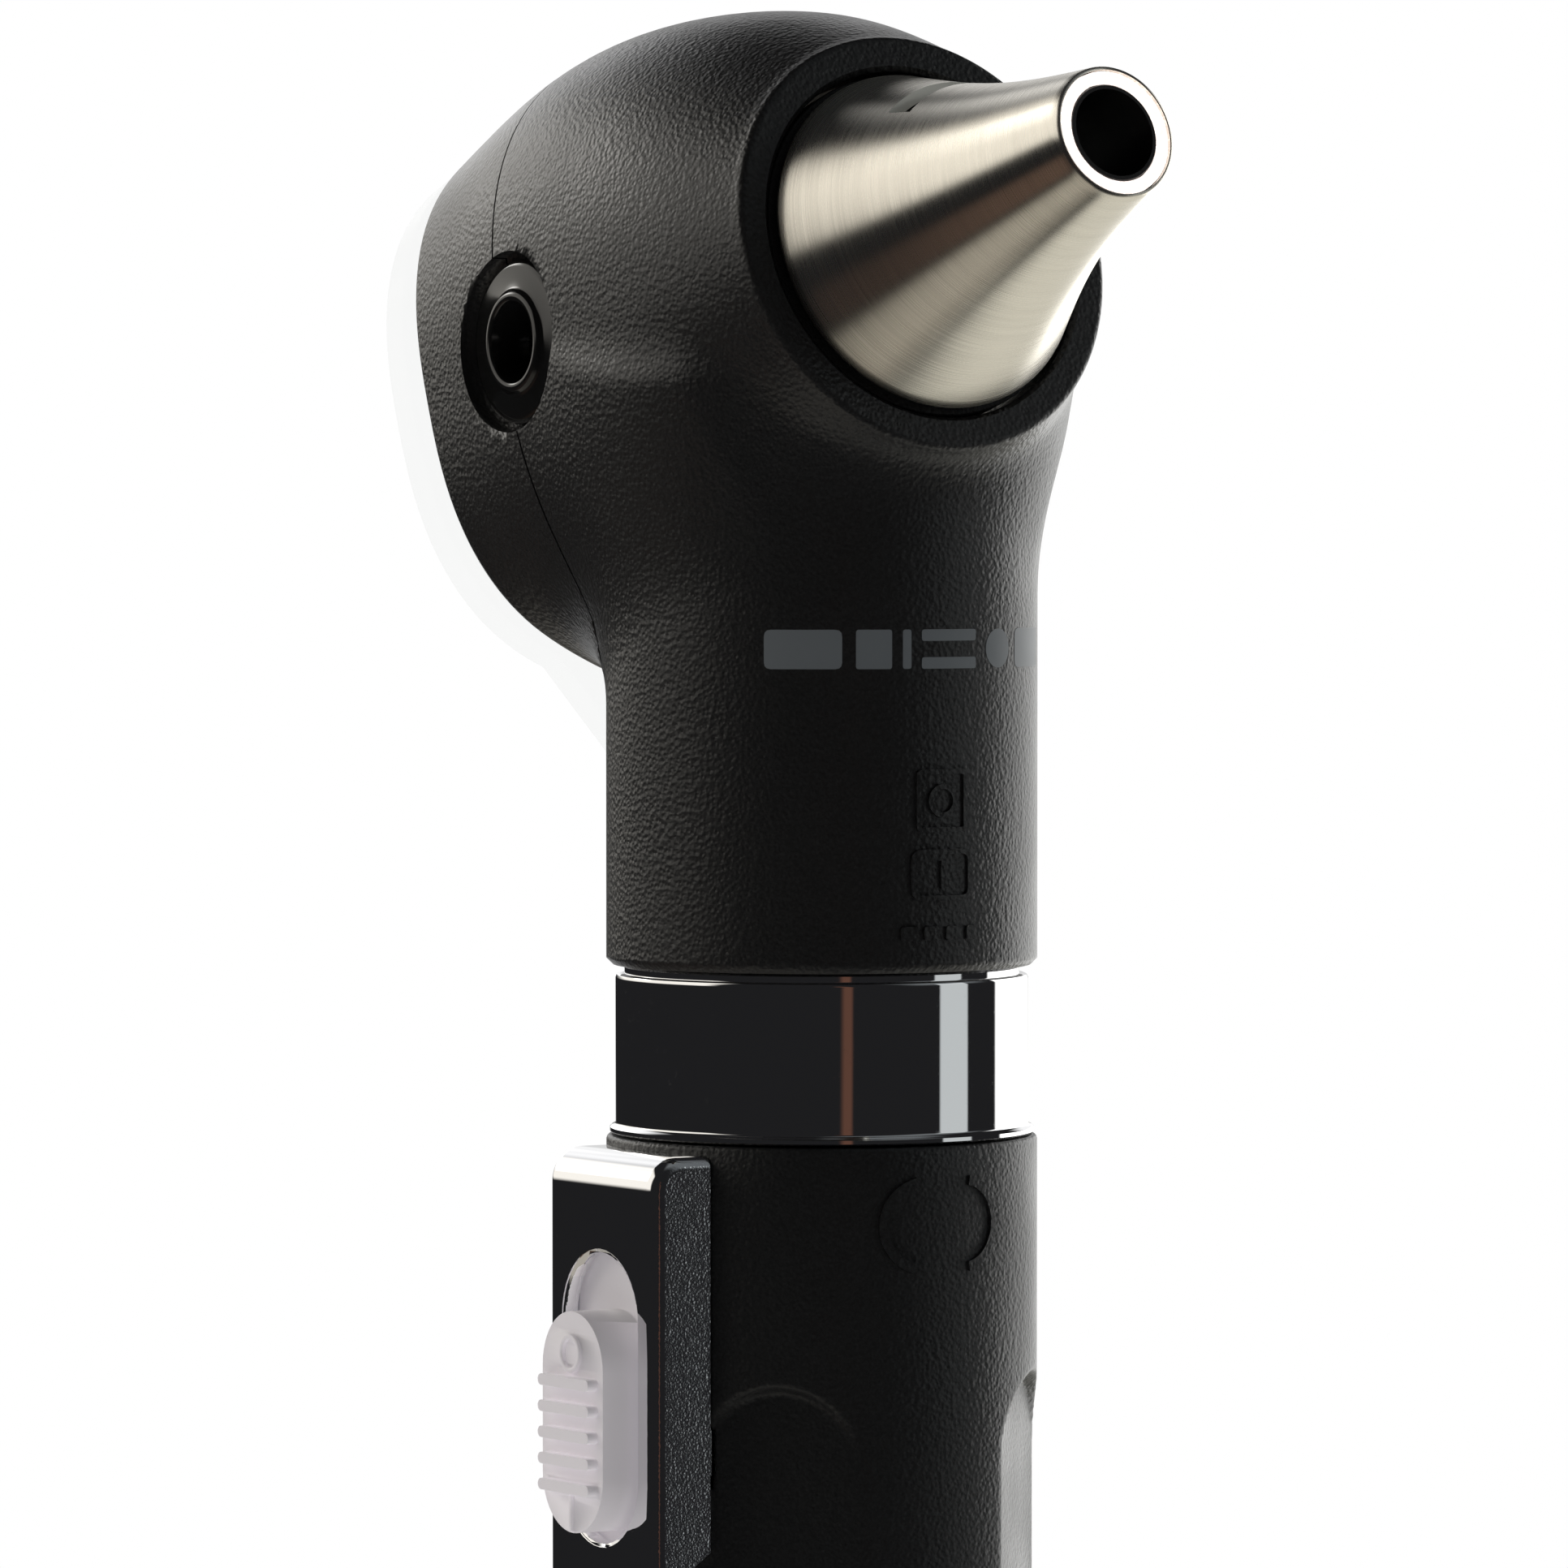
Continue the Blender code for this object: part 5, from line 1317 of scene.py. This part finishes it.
def arc_loop(centre_x, radius, line, start, end, steps=28):
    angles = [radians(start + (end - start) * i / steps) for i in range(steps + 1)]
    outer = [(centre_x + radius * cos(a), radius * sin(a)) for a in angles]
    return outer + [(centre_x + (radius - line) * cos(a), (radius - line) * sin(a)) for a in reversed(angles)]


def build_marks(finishes):
    """Plain marks: a printed row of bars with a dot, raised frames and dashes, and two raised arcs."""
    front = -pi / 2
    ink, plastic, grip = finishes["print_ink"], finishes["head_plastic"], finishes["handle_plastic"]
    row = [
        bar_loop(-8.0, -4.6, -0.85, 0.85, 0.3),
        bar_loop(-4.0, -2.4, -0.85, 0.85),
        bar_loop(-1.9, -1.5, -0.85, 0.85),
        bar_loop(-1.0, 1.9, 0.35, 0.85),
        bar_loop(-1.0, 1.9, -0.85, -0.35),
        circle(0.85, 32, (3.4, 0.0)),
        bar_loop(4.8, 8.0, -0.85, 0.85, 0.3),
    ]
    for index, loop in enumerate(row):
        wrapped(f"printed_mark_{index}", [loop], front, NECK_Z + 14.0, head_radius, 0.012, ink, "head")
    line, raised = 0.21, 0.13
    marks = {
        "square": (7.45, frame_loops(1.3, 1.36, line)),
        "ring": (7.45, [circle(0.72, 40), circle(0.72 - line, 40)[::-1]]),
        "frame": (4.25, frame_loops(1.55, 1.1, line, 0.5)),
        "bar": (4.25, [bar_loop(-line / 2, line / 2, -0.6, 0.6, 0.05)]),
    }
    for index in range(4):
        x = -1.65 + 1.1 * index
        marks[f"dash_{index}"] = (1.72, [bar_loop(x - 0.38, x + 0.38, -0.3, 0.3)])
    for name, (up, loops) in marks.items():
        wrapped(f"raised_{name}", loops, front, NECK_Z + up, head_radius, raised, plastic, "head")
    arcs = {"left": arc_loop(-0.9, 2.1, 0.42, 100, 260), "right": arc_loop(1.1, 2.1, 0.42, -80, 80)}
    for side, loop in arcs.items():
        wrapped(f"raised_arc_{side}", [loop], front, NECK_Z - 10.9, tube_radius, 0.14, grip, "handle")


# ---------------------------------------------------------------- inside


INSIDE = {
    "battery_lower": "cell_wrap",
    "battery_upper": "cell_wrap",
    "ground_strip": "contact_metal",
    "switched_strip": "contact_metal",
    "switch_contact": "contact_metal",
    "contact_plunger": "contact_metal",
    "cap_contact": "contact_metal",
    "lamp_contact": "contact_metal",
    "contact_spring": "spring_wire",
    "bayonet_socket": "nylon",
    "contact_carrier": "nylon",
    "lamp_insulator": "nylon",
    "bayonet_base": "chrome",
    "lamp_heat_sink": "machined",
    "led_lamp": "lamp_glass",
    "light_guide": "fibre_bundle",
}


def dress_inside(finishes):
    """The solids that keep their own shape get a finish with the detail of the real material."""
    for node, finish_name in INSIDE.items():
        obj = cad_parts[node]
        paint(obj, finishes[finish_name])
        smooth(obj, 30)


def main():
    bpy.context.scene.view_settings.view_transform = "Standard"
    make_camera()
    make_world()
    make_floor()
    finishes = make_finishes()
    dress_inside(finishes)
    builders = (build_head, build_cone, build_port, build_window, build_collar)
    builders += (build_handle, build_clip, build_switch, build_cap, build_marks)
    for build in builders:
        build(finishes)


def corners(bounds):
    return [[float(value) for value in corner] for corner in bounds]


main()
